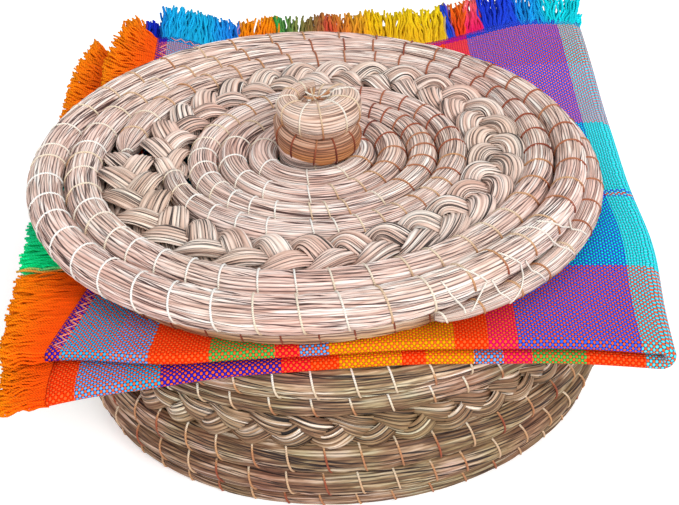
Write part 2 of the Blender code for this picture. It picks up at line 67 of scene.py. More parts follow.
def buildMesh(name, points, faceSets, cornerSets, marks, material):
    # faceSets holds arrays of faces with the same number of corners; cornerSets the matching UVs
    mesh = bpy.data.meshes.new(name)
    mesh.vertices.add(len(points))
    mesh.vertices.foreach_set("co", points.astype(np.float32).ravel())
    loops = np.concatenate([faces.ravel() for faces in faceSets])
    sizes = np.concatenate([np.full(len(faces), faces.shape[1]) for faces in faceSets])
    mesh.loops.add(len(loops))
    mesh.loops.foreach_set("vertex_index", loops.astype(np.int32))
    mesh.polygons.add(len(sizes))
    mesh.polygons.foreach_set("loop_start", (np.cumsum(sizes) - sizes).astype(np.int32))
    corners = np.concatenate([uv.reshape(-1, 2) for uv in cornerSets])
    mesh.uv_layers.new(name="flow").data.foreach_set("uv", corners.astype(np.float32).ravel())
    for label, values in marks.items():
        isColour = values.ndim > 1
        attribute = mesh.attributes.new(label, "FLOAT_COLOR" if isColour else "FLOAT", "POINT")
        attribute.data.foreach_set("color" if isColour else "value", values.astype(np.float32).ravel())
    mesh.polygons.foreach_set("use_smooth", np.ones(len(sizes), bool))
    mesh.update(calc_edges=True)
    mesh.validate()
    mesh.materials.append(material)
    piece = bpy.data.objects.new(name, mesh)
    scene.collection.objects.link(piece)
    return piece


def turnOutwards(points, faceSets, cornerSets):
    # the volume under the faces, as a sum of a·(b×c)/6, is negative where they look inwards
    total = 0
    for faces in faceSets:
        corner = points[faces]
        for k in range(1, faces.shape[1] - 1):
            total += np.einsum("ij,ij->", corner[:, 0], np.cross(corner[:, k], corner[:, k + 1]))
    if total < 0:
        faceSets = [faces[:, ::-1] for faces in faceSets]
        cornerSets = [uv[:, ::-1] for uv in cornerSets]
    return faceSets, cornerSets


def tubeMesh(name, rings, along, marks, material, closed=False):
    # rings of points (tube, ring, around, xyz) are joined to their neighbours; open tubes get end caps
    tubes, count, around = rings.shape[:3]
    ring = np.arange(count if closed else count - 1)
    tube, ring, spot = np.meshgrid(np.arange(tubes), ring, np.arange(around), indexing="ij")
    start = tube * count * around
    here = start + ring * around
    there = start + (ring + 1) % count * around
    nextSpot = (spot + 1) % around
    quads = np.stack([here + spot, here + nextSpot, there + nextSpot, there + spot], -1).reshape(-1, 4)
    alongHere = along[tube, ring]
    alongThere = np.append(along, along[:, -1:] + along[:, 1:2] - along[:, :1], 1)[tube, ring + 1]
    uvs = np.stack([np.stack([alongHere, spot], -1), np.stack([alongHere, spot + 1], -1),
                    np.stack([alongThere, spot + 1], -1), np.stack([alongThere, spot], -1)], 3)
    uvs = uvs.reshape(-1, 4, 2).astype(float)
    uvs[..., 1] /= around
    faceSets, cornerSets = [quads], [uvs]
    if not closed:
        first = np.arange(tubes)[:, None] * count * around
        fan = np.arange(around)[None, :]
        for caps in (first + fan[:, ::-1], first + (count - 1) * around + fan):
            faceSets.append(caps)
            cornerSets.append(np.zeros((tubes, around, 2)))
    points = rings.reshape(-1, 3)
    faceSets, cornerSets = turnOutwards(points, faceSets, cornerSets)
    marks = {label: values.reshape((-1,) + values.shape[3:]) for label, values in marks.items()}
    return buildMesh(name, points, faceSets, cornerSets, marks, material)


def blend3(at, along, values):
    # linear interpolation of points that are given along a line
    return np.stack([np.interp(at, along, values[:, k]) for k in range(3)], -1)


# paths of coils

def ringPoints(radius, angle, height, centre=(0, 0)):
    # x = cx + r cos a, y = cy + r sin a, z = h
    x = centre[0] + radius * np.cos(angle)
    y = centre[1] + radius * np.sin(angle)
    return np.stack([x, y, np.broadcast_to(height, x.shape)], -1)


def coilAlong(path, wide, tall=None, lean=up, closed=False):
    # what carries a section along a path: side = lean × forward and top = forward × side, with the
    # length passed and the section's half width and half height
    forward = unit(np.roll(path, -1, 0) - np.roll(path, 1, 0) if closed else np.gradient(path, axis=0))
    side = unit(np.cross(np.broadcast_to(lean, path.shape), forward))
    along = np.append(0, np.cumsum(np.linalg.norm(np.diff(path, axis=0), axis=1)))
    return {"path": path, "side": side, "top": np.cross(forward, side), "along": along, "closed": closed,
            "wide": np.broadcast_to(wide, along.shape),
            "tall": np.broadcast_to(wide if tall is None else tall, along.shape)}


def spiralTurns(coil):
    # a flat spiral counted back from its outer end: r = end radius - the steps still to come, where a step
    # is two half bundles and a seam over the steps of a turn, and the bundle swells over the first turns
    best = None
    count = spiralSteps
    while True:
        passed = np.arange(count + 1) / spiralSteps
        swell = np.clip(passed / coil["swellTurns"], 0, 1)
        thick = coil["startBundle"] + (coil["bundle"] - coil["startBundle"]) * swell
        steps = (thick[1:] + thick[:-1] + seam) / spiralSteps
        radius = coil["endRadius"] - np.append(np.cumsum(steps[::-1])[::-1], 0)
        if radius[0] < coil["startRadius"]:
            return best
        best = (passed, radius, thick)
        count += 1


def finerTurns(passed, radius, thick, count):
    # the same spiral at evenly spaced turns, by linear interpolation
    fine = np.linspace(0, passed[-1], count)
    return fine, np.interp(fine, passed, radius), np.interp(fine, passed, thick)


def stackedPath(coil, centre=(0, 0)):
    # each round is level round the front and climbs to the next one round the back, where the first
    # swells from a tip and the last one fades to one: share = (1 + pointed) · t - pointed
    rounds = len(coil["radii"])
    climb = coil["climb"]
    first = climb * (coil["tipShare"] - 1)
    last = rounds - climb * coil["tipShare"]
    passed = np.linspace(first, last, round((last - first) * coil["perTurn"]))
    whole = np.floor(passed)
    level = np.clip(whole + np.clip((passed - whole - (1 - climb)) / climb, 0, 1), 0, rounds - 1)
    radius, height, bundle = (np.interp(level, np.arange(rounds), coil[key])
                              for key in ("radii", "heights", "bundles"))
    pointed = 0.12
    leastShare = 0.1
    swell = (1 + pointed) * np.clip((passed + climb) / climb, 0, 1) - pointed
    fade = (1 + pointed) * np.clip((rounds - passed) / climb, 0, 1) - pointed
    height = np.where(swell < 1, coil["low"] + (height - coil["low"]) * swell, height)
    height = np.where(fade < 1, coil["high"] - (coil["high"] - height) * fade, height)
    bundle = bundle * np.clip(swell, leastShare, 1) * np.clip(fade, leastShare, 1)
    return ringPoints(radius, -fullTurn * passed, height, centre), bundle


# needles and thread

tieShares = {                       # shares of the spacing between two ties
    "jitter": 0.12,
    "behind": 0.25,                 # how far a tie stands behind the one of the turn before
    "split": 1.45,                  # past this, another tie goes in between
    "least": 0.6,                   # ties closer than this are one
}
needleLook = {                      # what a bundle has where its own look says nothing else
    "perNeedle": 4,                 # points round one needle
    "leastWidth": 0.45,             # added to a random width of 0 to 1
    "leastLength": 0.5,             # added to a random length of 0 to 1, both times needleLength
    "shift": 7,                     # how many of its lengths a needle may be moved along
    "tip": 5 * mm,                  # over which one needle gives way to the next
    "borderPower": 3,               # how sharp the groove between two needles is
    "grooveLow": 0.6,               # depth of the groove beside the lowest needles
    "grooveMore": 0.8,              # added beside the highest ones
    "turn": 4.0,                    # radians that the needles wind round in a metre
    "wander": 90 * mm,              # length over which they sway to and fro
    "sway": 0.06,
    "square": 2.0,                  # power p of the section |x|^p + |y|^p = 1, where 2 is round
    "full": 0.012,                  # how much the bundle swells away from its ties
    "fullPast": 4 * mm,
}
threadLook = {
    "points": 18,
    "square": 2.0,
    "lift": 0.35,                   # share of its own radius that the thread stands out of the grass
    "sink": 0.6,                    # share of the pinch that the thread follows
}


def followingTies(along, spacing, turns):
    # each tie stands a turn after one of the turn before, less a share of the spacing, and one more goes in
    # halfway wherever two stand too far apart
    pace = np.gradient(along, turns)

    def lengthAt(turn):
        # length of path in a turn
        return np.interp(turn, turns, pace)

    found = []
    at = turns[0]
    while at < min(turns[0] + 1, turns[-1]):
        found.append(at)
        at += spacing / lengthAt(at)
    current = list(found)
    while current:
        raised = [at + 1 - tieShares["behind"] * spacing / lengthAt(at + 1) for at in current]
        raised.append(raised[0] + 1)
        following = []
        for here, there in zip(raised[:-1], raised[1:]):
            following.append(here)
            if (there - here) * lengthAt(here) > tieShares["split"] * spacing:
                following.append((here + there) / 2)
        current = [at for at in following if at < turns[-1]]
        found += current
        if len(current) < len(following):
            break
    places = np.interp(sorted(found), turns, along)
    return places[np.append(True, np.diff(places) > tieShares["least"] * spacing)]


def tiePlaces(coil, spacing, seed, turns=None):
    # lengths along a coil where the thread passes, each moved a little at random. With turns given, the ties
    # follow those of the turn before, and otherwise they are evenly spaced
    rand = np.random.default_rng(seed)
    if turns is None:
        places = np.arange(spacing / 2, coil["along"][-1], spacing)
    else:
        places = followingTies(coil["along"], spacing, turns)
    return places + spacing * tieShares["jitter"] * (rand.random(len(places)) - 0.5)


def cornerShare(angle, square):
    # radius of the section |x|^p + |y|^p = 1 at an angle
    return (np.abs(np.cos(angle)) ** square + np.abs(np.sin(angle)) ** square) ** (-1 / square)


def needleBundle(name, coil, look, material, ties=None, ground=None):
    # a tube whose section is a ring of needles: radius = bundle · (1 + uneven · (level - ½) · (1 - border)
    # - groove · border), where each needle has its own level and tone, which change where it ends and the
    # next one begins. At a tie the bundle is pinched by pinch · e to the power of -(distance / pinchWide)²
    look = {**needleLook, **look}
    rand = np.random.default_rng(look["seed"])
    along = coil["along"]
    needles, perNeedle = look["needles"], look["perNeedle"]
    spot = np.arange(needles * perNeedle)
    needle = spot // perNeedle
    share = spot % perNeedle / perNeedle
    widths = look["leastWidth"] + rand.random(needles)
    edges = np.append(0, np.cumsum(widths)) / widths.sum()
    place = edges[needle] + share * (edges[needle + 1] - edges[needle])
    length = look["needleLength"] * (look["leastLength"] + rand.random(needles))
    cells = np.maximum(np.round(along[-1] / length), 1).astype(int)
    length = along[-1] / cells
    at = along[:, None] / length[needle] + rand.random(needles)[needle] * look["shift"]
    index = np.floor(at).astype(int)
    edge = look["tip"] / length[needle]
    swap = ease((at - index - 1 + edge) / edge)
    levels = rand.random((needles, cells.max()))
    tones = rand.random((needles, cells.max()))
    now = index % cells[needle]
    then = (index + 1) % cells[needle]
    level = levels[needle, now] * (1 - swap) + levels[needle, then] * swap
    tone = tones[needle, now] * (1 - swap) + tones[needle, then] * swap
    border = np.abs(np.cos(np.pi * share)) ** look["borderPower"]
    groove = look["groove"] * border * (look["grooveLow"] + look["grooveMore"] * level)
    swell = 1 + look["uneven"] * (level - 0.5) * (1 - border) - groove
    waves = np.sin(fullTurn * along / look["wander"] + look["seed"])
    angle = fullTurn * place + look["turn"] * along[:, None] + look["sway"] * waves[:, None]
    if ties is not None:
        shareOver = np.clip((np.mod(angle + np.pi / 2, fullTurn) - np.pi / 2) / np.pi, 0, 1)
        shifted = along[:, None] - look["slant"] * (shareOver - 0.5)
        beside = np.searchsorted(ties, shifted)[..., None] + np.array([-1, 0])
        nearest = np.abs(shifted[..., None] - ties[np.clip(beside, 0, len(ties) - 1)]).min(-1)
        swell = swell * (1 - look["pinch"] * np.exp(-(nearest / look["pinchWide"]) ** 2))
        swell = swell * (1 + look["full"] * (1 - np.exp(-(nearest / look["fullPast"]) ** 2)))
    swell = swell * cornerShare(angle, look["square"])
    rings = (coil["path"][:, None]
             + (coil["wide"][:, None] * swell * np.cos(angle))[..., None] * coil["side"][:, None]
             + (coil["tall"][:, None] * swell * np.sin(angle))[..., None] * coil["top"][:, None])
    if ground is not None:
        rings[..., 2] = np.maximum(rings[..., 2], ground)
    marks = {"tone": tone[None], "border": np.broadcast_to(border, tone.shape)[None]}
    return tubeMesh(name, rings[None], along[None], marks, material, coil["closed"])


def threadTies(coil, ties, look, toneOf):
    # an arc of thread over the bundle at each tie: centre + (radius + lift) · (cos a · side + sin a · top),
    # with a running from one crease to the other while the thread slips back along the bundle
    look = {**threadLook, **look}
    share = np.linspace(0, 1, look["points"])
    angle = np.radians(look["from"]) + np.radians(look["to"] - look["from"]) * share
    at = np.clip(ties[:, None] - look["slant"] * (share - 0.5), 0, coil["along"][-1])
    centre, side, top = (blend3(at, coil["along"], coil[key]) for key in ("path", "side", "top"))
    wide, tall = (np.interp(at, coil["along"], coil[key]) for key in ("wide", "tall"))
    reach = cornerShare(angle, look["square"]) + look["thread"] * look["lift"] / wide
    reach = reach * (1 - look["sink"] * look["pinch"])
    out = np.cos(angle)[:, None] * side + np.sin(angle)[:, None] * top
    line = (centre + (wide * reach * np.cos(angle))[..., None] * side
            + (tall * reach * np.sin(angle))[..., None] * top)
    return {"line": line, "out": out, "tone": toneOf(line, share), "thread": look["thread"]}


def axesAlong(lines, out):
    # across = forward × out, and top = across × forward
    forward = unit(np.gradient(lines, axis=1))
    across = unit(np.cross(forward, out))
    return across, np.cross(across, forward)


def roundRings(lines, first, second, radius, sides):
    # round tubes about lines: line + r (cos b · first + sin b · second)
    turn = fullTurn * np.arange(sides) / sides
    return lines[:, :, None] + radius[..., None, None] * (
        np.cos(turn)[:, None] * first[:, :, None] + np.sin(turn)[:, None] * second[:, :, None])


def threadPiece(name, sets, material, sides=6, ground=None):
    # every thread of every set is a round tube about its line, with its tone along it
    rings = []
    tones = []
    along = []
    for threads in sets:
        line = threads["line"]
        across, top = axesAlong(line, threads["out"])
        rings.append(roundRings(line, top, across, np.full(line.shape[:2], threads["thread"]), sides))
        tones.append(np.broadcast_to(threads["tone"][..., None], rings[-1].shape[:3]))
        steps = np.linalg.norm(np.diff(line, axis=1), axis=2)
        along.append(np.append(np.zeros((len(line), 1)), np.cumsum(steps, 1), 1))
    rings = np.concatenate(rings)
    if ground is not None:
        rings[..., 2] = np.maximum(rings[..., 2], ground)
    return tubeMesh(name, rings, np.concatenate(along), {"tone": np.concatenate(tones)}, material)


def finish(piece, body, slot, *nodes):
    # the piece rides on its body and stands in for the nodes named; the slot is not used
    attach(piece, body)
    if nodes:
        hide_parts(*nodes)
    print("made", piece.name, len(piece.data.polygons), "faces")
    return piece


# materials

def srgb(*rgb):
    # 0 to 255 screen values to linear ones
    values = np.array(rgb) / 255
    linear = np.where(values <= 0.04045, values / 12.92, ((values + 0.055) / 1.055) ** 2.4)
    return tuple(float(value) for value in linear)


def stops(*rows):
    # each row is a place, then red, green and blue as screen values
    return [(place, srgb(*rgb)) for place, *rgb in rows]


def feed(socket, value):
    # a number, a colour or another node's output goes into the socket
    if isinstance(value, bpy.types.NodeSocket):
        socket.id_data.links.new(value, socket)
    else:
        socket.default_value = (*value, 1) if socket.type == "RGBA" else value


def addNode(tree, kind, **settings):
    # settings are the node's own, or named after its inputs
    node = tree.nodes.new("ShaderNode" + kind)
    for key, value in settings.items():
        if key in node.bl_rna.properties:
            setattr(node, key, value)
        else:
            feed(node.inputs[key.replace("_", " ")], value)
    return node


def maths(operation, *values, clamp=False):
    # the operation on two or three values, in the tree of those that are outputs
    tree = next(value.id_data for value in values if isinstance(value, bpy.types.NodeSocket))
    node = addNode(tree, "Math", operation=operation, use_clamp=clamp)
    for socket, value in zip(node.inputs, values):
        feed(socket, value)
    return node.outputs[0]


def weightedSum(start, *pairs):
    # start + the sum of value · weight
    total = start
    for value, weight in pairs:
        total = maths("MULTIPLY_ADD", value, weight, total)
    return total


def rampOf(source, rows, interpolation="LINEAR"):
    # a colour for the source's value, from rows of place and colour, in order
    node = addNode(source.id_data, "ValToRGB")
    feed(node.inputs[0], source)
    node.color_ramp.interpolation = interpolation
    elements = node.color_ramp.elements
    while len(elements) > 1:
        elements.remove(elements[-1])
    elements[0].position = rows[0][0]
    elements[0].color = (*rows[0][1], 1)
    for place, colour in rows[1:]:
        elements.new(place).color = (*colour, 1)
    return node.outputs[0]


def mixed(factor, base, over, blend="MIX"):
    # the base colour blended with the one over it, by the factor
    node = addNode(base.id_data, "Mix", data_type="RGBA", blend_type=blend)
    for place, value in ((0, factor), (6, base), (7, over)):
        feed(node.inputs[place], value)
    return node.outputs[2]


def attributeOf(tree, name, output="Fac"):
    # what the mesh holds at each point under this name
    return addNode(tree, "Attribute", attribute_name=name).outputs[output]


def flowOf(tree):
    # the piece's UV map: the length along it, and the share round it or the length across
    return addNode(tree, "UVMap", uv_map="flow").outputs[0]


def partsOf(vector):
    # the three parts of a vector
    return addNode(vector.id_data, "SeparateXYZ", Vector=vector).outputs


def newMaterial(name, roughness, specular):
    # a material with the standard shader and these two of its values
    made = bpy.data.materials.new(name)
    made.use_nodes = True
    shader = made.node_tree.nodes["Principled BSDF"]
    feed(shader.inputs["Roughness"], roughness)
    feed(shader.inputs["Specular IOR Level"], specular)
    return made, made.node_tree, shader


def dress(shader, colour, height, strength, depth):
    # the colour and a bump of this height go into the shader
    bump = addNode(shader.id_data, "Bump", Strength=strength, Distance=depth, Height=height)
    feed(shader.inputs["Base Color"], colour)
    feed(shader.inputs["Normal"], bump.outputs[0])


grassFinish = {
    "roughness": 0.6,
    "specular": 0.35,
    "toneWeight": 0.36,             # what chooses a place in the palette
    "streakWeight": 0.85,
    "shortWeight": 0.45,
    "darker": -0.30,
    "patchScale": 22.0,
    "patchShare": 0.65,
    # fine noise below the first of these is a dark line of painted shade between needles, and above the
    # second there is none
    "lines": [(0.395, (1, 1, 1)), (0.44, (0, 0, 0))],
    # where broken noise is low, the painted shade along a needle's border fades
    "breaks": [(0.38, (0.25, 0.25, 0.25)), (0.56, (1, 1, 1))],
    "borderPower": 1.6,
    "streakHeight": 0.6,
    "bump": (0.8, 0.6 * mm),
    # scale along, share of the lines round, detail, seed, and how far round it drifts in a metre
    "noises": {
        "streak": (24, 1.0, 2.0, 0.0, 1.5),
        "fine": (16, 2.1, 2.0, 3.7, -1.3),
        "short": (95, 0.7, 3.0, 8.1, 2.4),
        "broken": (40, 0.5, 2.0, 5.3, 0.0),
    },
}


def grassMaterial(name, look):
    # the place in the palette is a weighted sum of needle tone and streaks, patches tint it over the piece,
    # and dark lines of painted shade part the needles where the gaps between them would be shaded; low holds
    # two heights and the tint that comes in between them, painted shade that darkens the piece towards its
    # bottom
    made, tree, shader = newMaterial(name, grassFinish["roughness"], grassFinish["specular"])
    along, around = partsOf(flowOf(tree))[:2]
    place = addNode(tree, "TexCoord").outputs["Object"]
    noises = {}
    for label, (alongScale, aroundShare, detail, seed, drift) in grassFinish["noises"].items():
        turned = addNode(tree, "CombineXYZ", X=along, Y=weightedSum(around, (along, drift)))
        moved = addNode(tree, "Mapping", Vector=turned.outputs[0], Location=(seed, seed, seed),
                        Scale=(alongScale, look["linesRound"] * aroundShare, 1))
        noise = addNode(tree, "TexNoise", Vector=moved.outputs[0], Scale=1.0, Detail=detail, Roughness=0.6)
        noises[label] = noise.outputs["Fac"]
    value = weightedSum(grassFinish["darker"], (attributeOf(tree, "tone"), grassFinish["toneWeight"]),
                        (noises["streak"], grassFinish["streakWeight"]),
                        (noises["short"], grassFinish["shortWeight"]))
    patch = addNode(tree, "TexNoise", Vector=place, Scale=grassFinish["patchScale"], Detail=2.0)
    patch = rampOf(patch.outputs["Fac"], look["patches"])
    colour = mixed(grassFinish["patchShare"], rampOf(value, look["palette"]), patch, "MULTIPLY")
    # painted shade: low darkens the colour towards the piece's bottom, as under the round above
    if "low" in look:
        low, high, tint = look["low"]
        down = maths("DIVIDE", maths("SUBTRACT", high, partsOf(place)[2]), high - low, clamp=True)
        colour = mixed(down, colour, mixed(1.0, colour, tint, "MULTIPLY"))
    # painted shade: the fine dark lines and the darkened needle borders stand for the shaded gaps between
    # needles
    lines = maths("MULTIPLY", rampOf(noises["fine"], grassFinish["lines"]), look["gapShadeShare"])
    colour = mixed(lines, colour, look["line"])
    border = maths("POWER", attributeOf(tree, "border"), grassFinish["borderPower"])
    border = maths("MULTIPLY", border, rampOf(noises["broken"], grassFinish["breaks"]), clamp=True)
    colour = mixed(border, colour, look["line"])
    height = weightedSum(noises["fine"], (noises["streak"], grassFinish["streakHeight"]))
    dress(shader, colour, height, *grassFinish["bump"])
    return made


threadFinish = {
    "roughness": 0.6,
    "specular": 0.3,
    "pitch": 1.5 * mm,              # length in which a ply goes once round
    # dark and ply: the least brightness and what each ply's crest adds, painted shade between the plies
    "dark": 0.46,
    "ply": 0.62,
    "bump": (0.6, 0.3 * mm),
}
# the fringe yarn's plies get the same painted shade between them
yarnFinish = {"roughness": 0.9, "specular": 0.1, "pitch": 2.4 * mm, "dark": 0.68, "ply": 0.4,
              "bump": (0.6, 0.4 * mm)}


def twistedMaterial(name, look, tones=None):
    # plies wind round the thread: |sin(2π along / pitch + 2π round)| brightens it, painting shade between the
    # plies, and lifts it. Its colour is the tone of its points read from the tones given, or else their own
    # tint
    made, tree, shader = newMaterial(name, look["roughness"], look["specular"])
    along, around = partsOf(flowOf(tree))[:2]
    phase = weightedSum(0.0, (along, fullTurn / look["pitch"]), (around, fullTurn))
    ply = maths("ABSOLUTE", maths("SINE", phase))
    colour = rampOf(attributeOf(tree, "tone"), tones) if tones else attributeOf(tree, "tint", "Color")
    colour = mixed(1.0, colour, weightedSum(look["dark"], (ply, look["ply"])), "MULTIPLY")
    dress(shader, colour, ply, *look["bump"])
    return made


# in each look, line is the colour of the painted shade in the gaps between needles
grass = {name: grassMaterial(name, look) for name, look in {
    "lidGrass": {
        "palette": stops((0.0, 92, 62, 54), (0.14, 176, 138, 124), (0.32, 216, 185, 173),
                         (0.50, 238, 213, 203), (0.66, 254, 240, 234), (0.78, 255, 254, 252)),
        "patches": stops((0.3, 255, 226, 216), (0.5, 255, 248, 242), (0.7, 252, 240, 224)),
        "line": srgb(62, 32, 30), "gapShadeShare": 0.95, "linesRound": 46,
        # low: painted shade on the lid's underside, under its edge, darker and more olive
        "low": (91 * mm, 99 * mm, srgb(206, 180, 138))},
    "braidGrass": {
        "palette": stops((0.0, 88, 58, 50), (0.16, 172, 136, 120), (0.36, 222, 194, 180),
                         (0.60, 248, 230, 220), (0.85, 255, 254, 250)),
        "patches": stops((0.3, 255, 228, 218), (0.5, 255, 248, 242), (0.7, 250, 242, 226)),
        "line": srgb(34, 18, 16), "gapShadeShare": 0.95, "linesRound": 25},
    "baseGrass": {
        "palette": stops((0.0, 44, 26, 22), (0.22, 104, 74, 60), (0.40, 150, 121, 98), (0.56, 188, 163, 136),
                         (0.68, 232, 219, 202), (0.80, 255, 252, 248)),
        "patches": stops((0.3, 232, 160, 156), (0.44, 255, 226, 214), (0.58, 214, 208, 160),
                         (0.75, 246, 196, 190)),
        "line": srgb(30, 10, 8), "gapShadeShare": 0.98, "linesRound": 32,
        # low: painted shade on the base below its top round, which shades it
        "low": (57 * mm, 62 * mm, srgb(216, 208, 197))},
    "baseBraidGrass": {
        "palette": stops((0.0, 40, 22, 16), (0.22, 100, 70, 52), (0.40, 144, 115, 88), (0.58, 184, 162, 134),
                         (0.76, 254, 250, 242)),
        "patches": stops((0.3, 236, 182, 164), (0.5, 255, 232, 214), (0.7, 222, 210, 156)),
        "line": srgb(14, 6, 4), "gapShadeShare": 0.98, "linesRound": 26},
    "knobGrass": {
        "palette": stops((0.0, 120, 84, 66), (0.2, 198, 162, 142), (0.44, 234, 206, 188),
                         (0.7, 250, 236, 226), (1.0, 255, 253, 250)),
        "patches": stops((0.3, 255, 230, 218), (0.6, 255, 248, 242)),
        "line": srgb(84, 50, 34), "gapShadeShare": 0.85, "linesRound": 58,
        # low: the knob's lower round turns a warmer tan, partly its own colour and partly painted shade
        "low": (119 * mm, 136 * mm, srgb(200, 148, 98))},
}.items()}
sewingThread = twistedMaterial(
    "sewingThread", threadFinish,
    stops((0.0, 255, 253, 248), (0.28, 242, 224, 196), (0.5, 208, 156, 110), (0.75, 164, 84, 56),
          (1.0, 112, 44, 32)))
print("materials ready")


# basket

basket = {
    "widthShare": 1.055,            # wider from side to side than from front to back
    "ground": 0.1 * mm,             # no needle goes lower, and no thread lower than half of it
    "sunk": 1.32 * mm,              # how far the lowest rounds would reach under the table
    "look": {"needles": 30, "perNeedle": 3, "needleLength": 65 * mm, "uneven": 0.12, "groove": 0.09,
             "slant": -4.5 * mm, "pinch": 0.05, "pinchWide": 1.3 * mm, "turn": 2.5},
    "tie": {"from": 100, "to": -258, "slant": 9 * mm, "thread": 0.5 * mm, "pinch": 0.05, "points": 26},
}
wall = {
    "radii": [112.3 * mm, 113.7 * mm, 112.5 * mm],      # foot and the two wall rounds, to the bundle's middle
    "bundles": [4.6 * mm, 6.8 * mm, 8.0 * mm],
    "heights": [2.66 * mm, 13.14 * mm, 26.56 * mm],
    "low": -basket["sunk"],         # heights at which the two ends taper off
    "high": 33.49 * mm,
    "climb": 0.5,                   # share of a turn in which a round climbs to the next one
    "tipShare": 0.1,                # share of that climb which is left off at the two ends
    "perTurn": 230,
    "spacing": 15.5 * mm,
    "seed": 11,
    "tieSeed": 2,
    "tone": {"seed": 5, "top": (0.05, 0.25), "side": (0.38, 0.47), "fall": (0.02, 0.22)},
}
rim = {
    "radii": [112.0 * mm, 113.3 * mm],
    "bundles": [6.0 * mm, 7.2 * mm],
    "heights": [54.98 * mm, 67.02 * mm],
    "low": 49.79 * mm,
    "high": 73.26 * mm,
    "climb": 0.5,
    "tipShare": 0.1,
    "perTurn": 230,
    "spacing": 16.5 * mm,
    "seed": 12,
    "tieSeed": 3,
    "tone": {"seed": 6, "top": (0.0, 0.15), "side": (0.25, 0.45), "fall": (0.12, 0.2)},
}
floorCoil = {
    "endRadius": 100.5 * mm,
    "bundle": 6.6 * mm,
    "startBundle": 2.0 * mm,
    "startRadius": 2.4 * mm,
    "swellTurns": 1.5,
    "edge": 107.1 * mm,             # the last round thins out along this radius
    "least": 2.0 * mm,
    "points": 760,
    "spacing": 13 * mm,
    "tieSeed": 4,
    "look": {"needles": 20, "seed": 13, "slant": 4 * mm},
    "tie": {"from": 185, "to": -5, "slant": -4 * mm},
}


def widen(path):
    # x grows by the basket's width share
    return path * np.array([basket["widthShare"], 1, 1])


def fallingTone(look):
    # white over the top of each round, tan and rust down its outer side: top + (side - top) · eased share
    def toneOf(line, share):
        rand = np.random.default_rng(look["seed"])
        top, side = (least + more * rand.random((len(line), 1))
                     for least, more in (look["top"], look["side"]))
        return top + (side - top) * easeFrom(share[None], *look["fall"])
    return toneOf


def floorTurns():
    # the flat spiral, and then a last stretch whose bundle fills what is left inside the edge, by halves
    passed, radius, thick = spiralTurns(floorCoil)
    radius, thick = list(radius), list(thick)
    while True:
        half = (floorCoil["edge"] - radius[-spiralSteps] - thick[-spiralSteps] - seam) / 2
        if half < floorCoil["least"]:
            return np.arange(len(radius)) / spiralSteps, radius, thick
        radius.append(floorCoil["edge"] - half)
        thick.append(half)


baseThreads = []
for name, node, coil in (("base_wall", "wall_coil", wall), ("base_rim", "rim_coil", rim)):
    path, bundle = stackedPath(coil)
    run = coilAlong(widen(path), bundle)
    ties = tiePlaces(run, coil["spacing"], coil["tieSeed"])
    finish(needleBundle(name, run, {**basket["look"], "seed": coil["seed"]}, grass["baseGrass"], ties,
                        basket["ground"]), "basket", "base_grass", node)
    baseThreads.append(threadTies(run, ties, basket["tie"], fallingTone(coil["tone"])))

turns, radius, thick = finerTurns(*floorTurns(), floorCoil["points"])
thick = thick / np.hypot(np.cos(fullTurn * turns) / basket["widthShare"], np.sin(fullTurn * turns))
height = thick * math.cos(math.pi / 6) - basket["sunk"]
run = coilAlong(widen(ringPoints(radius, -fullTurn * turns, height)), thick)
ties = tiePlaces(run, floorCoil["spacing"], floorCoil["tieSeed"], turns)
finish(needleBundle("base_floor", run, {**basket["look"], **floorCoil["look"]}, grass["baseGrass"], ties,
                    basket["ground"]), "basket", "base_grass", "floor_coil")
baseThreads.append(threadTies(run, ties, {**basket["tie"], **floorCoil["tie"]}, fallingTone(wall["tone"])))
finish(threadPiece("base_thread", baseThreads, sewingThread, ground=basket["ground"] / 2),
       "basket", "base_grass")


# basket's braid

baseBraid = {
    "radius": 113.85 * mm,
    "middle": 41.64 * mm,
    "height": 17.6 * mm,
    "waves": 14,
    "perWave": 36,
    "strandWide": 5.0 * mm,         # half width of a strand
    "strandThick": 1.9 * mm,
    "reachShare": 0.7,              # share of that by which a strand's middle stays inside the band
    "rise": 2.5 * mm,
    "lean": 0.25,                   # how far a strand turns its face as it dives
    "swell": 0.14,
    "look": {"needles": 12, "needleLength": 150 * mm, "uneven": 0.26, "groove": 0.30, "turn": 0.0,
             "tip": 9 * mm, "wander": 60 * mm},
    "seed": 21,
}


def braidStrand(strand):
    # r = R + rise · sin 2w, z = middle + reach · sin w, with w shifted by a third for each strand
    share = np.arange(baseBraid["waves"] * baseBraid["perWave"]) / (baseBraid["waves"] * baseBraid["perWave"])
    wave = fullTurn * (baseBraid["waves"] * share + strand / 3)
    angle = -fullTurn * share
    reach = baseBraid["height"] / 2 - baseBraid["strandWide"] * baseBraid["reachShare"]
    radius = baseBraid["radius"] + baseBraid["rise"] * np.sin(2 * wave)
    path = widen(ringPoints(radius, angle, baseBraid["middle"] + reach * np.sin(wave)))
    out = ringPoints(np.ones(len(share)), angle, 0.0)
    onwards = np.stack([-np.sin(angle), np.cos(angle), 0 * angle], -1)
    lean = unit(out + baseBraid["lean"] * np.cos(2 * wave)[:, None] * onwards)
    wide = baseBraid["strandWide"] * (1 + baseBraid["swell"] * np.cos(2 * wave))
    return coilAlong(path, wide, baseBraid["strandThick"], lean, closed=True)


for strand in range(3):
    finish(needleBundle(f"base_braid_{strand + 1}", braidStrand(strand),
                        {**baseBraid["look"], "seed": baseBraid["seed"] + strand}, grass["baseBraidGrass"]),
           "basket", "braid_grass", f"wall_braid_strand_{strand + 1}")


# lid's braid, between the centre coil and the outer coil

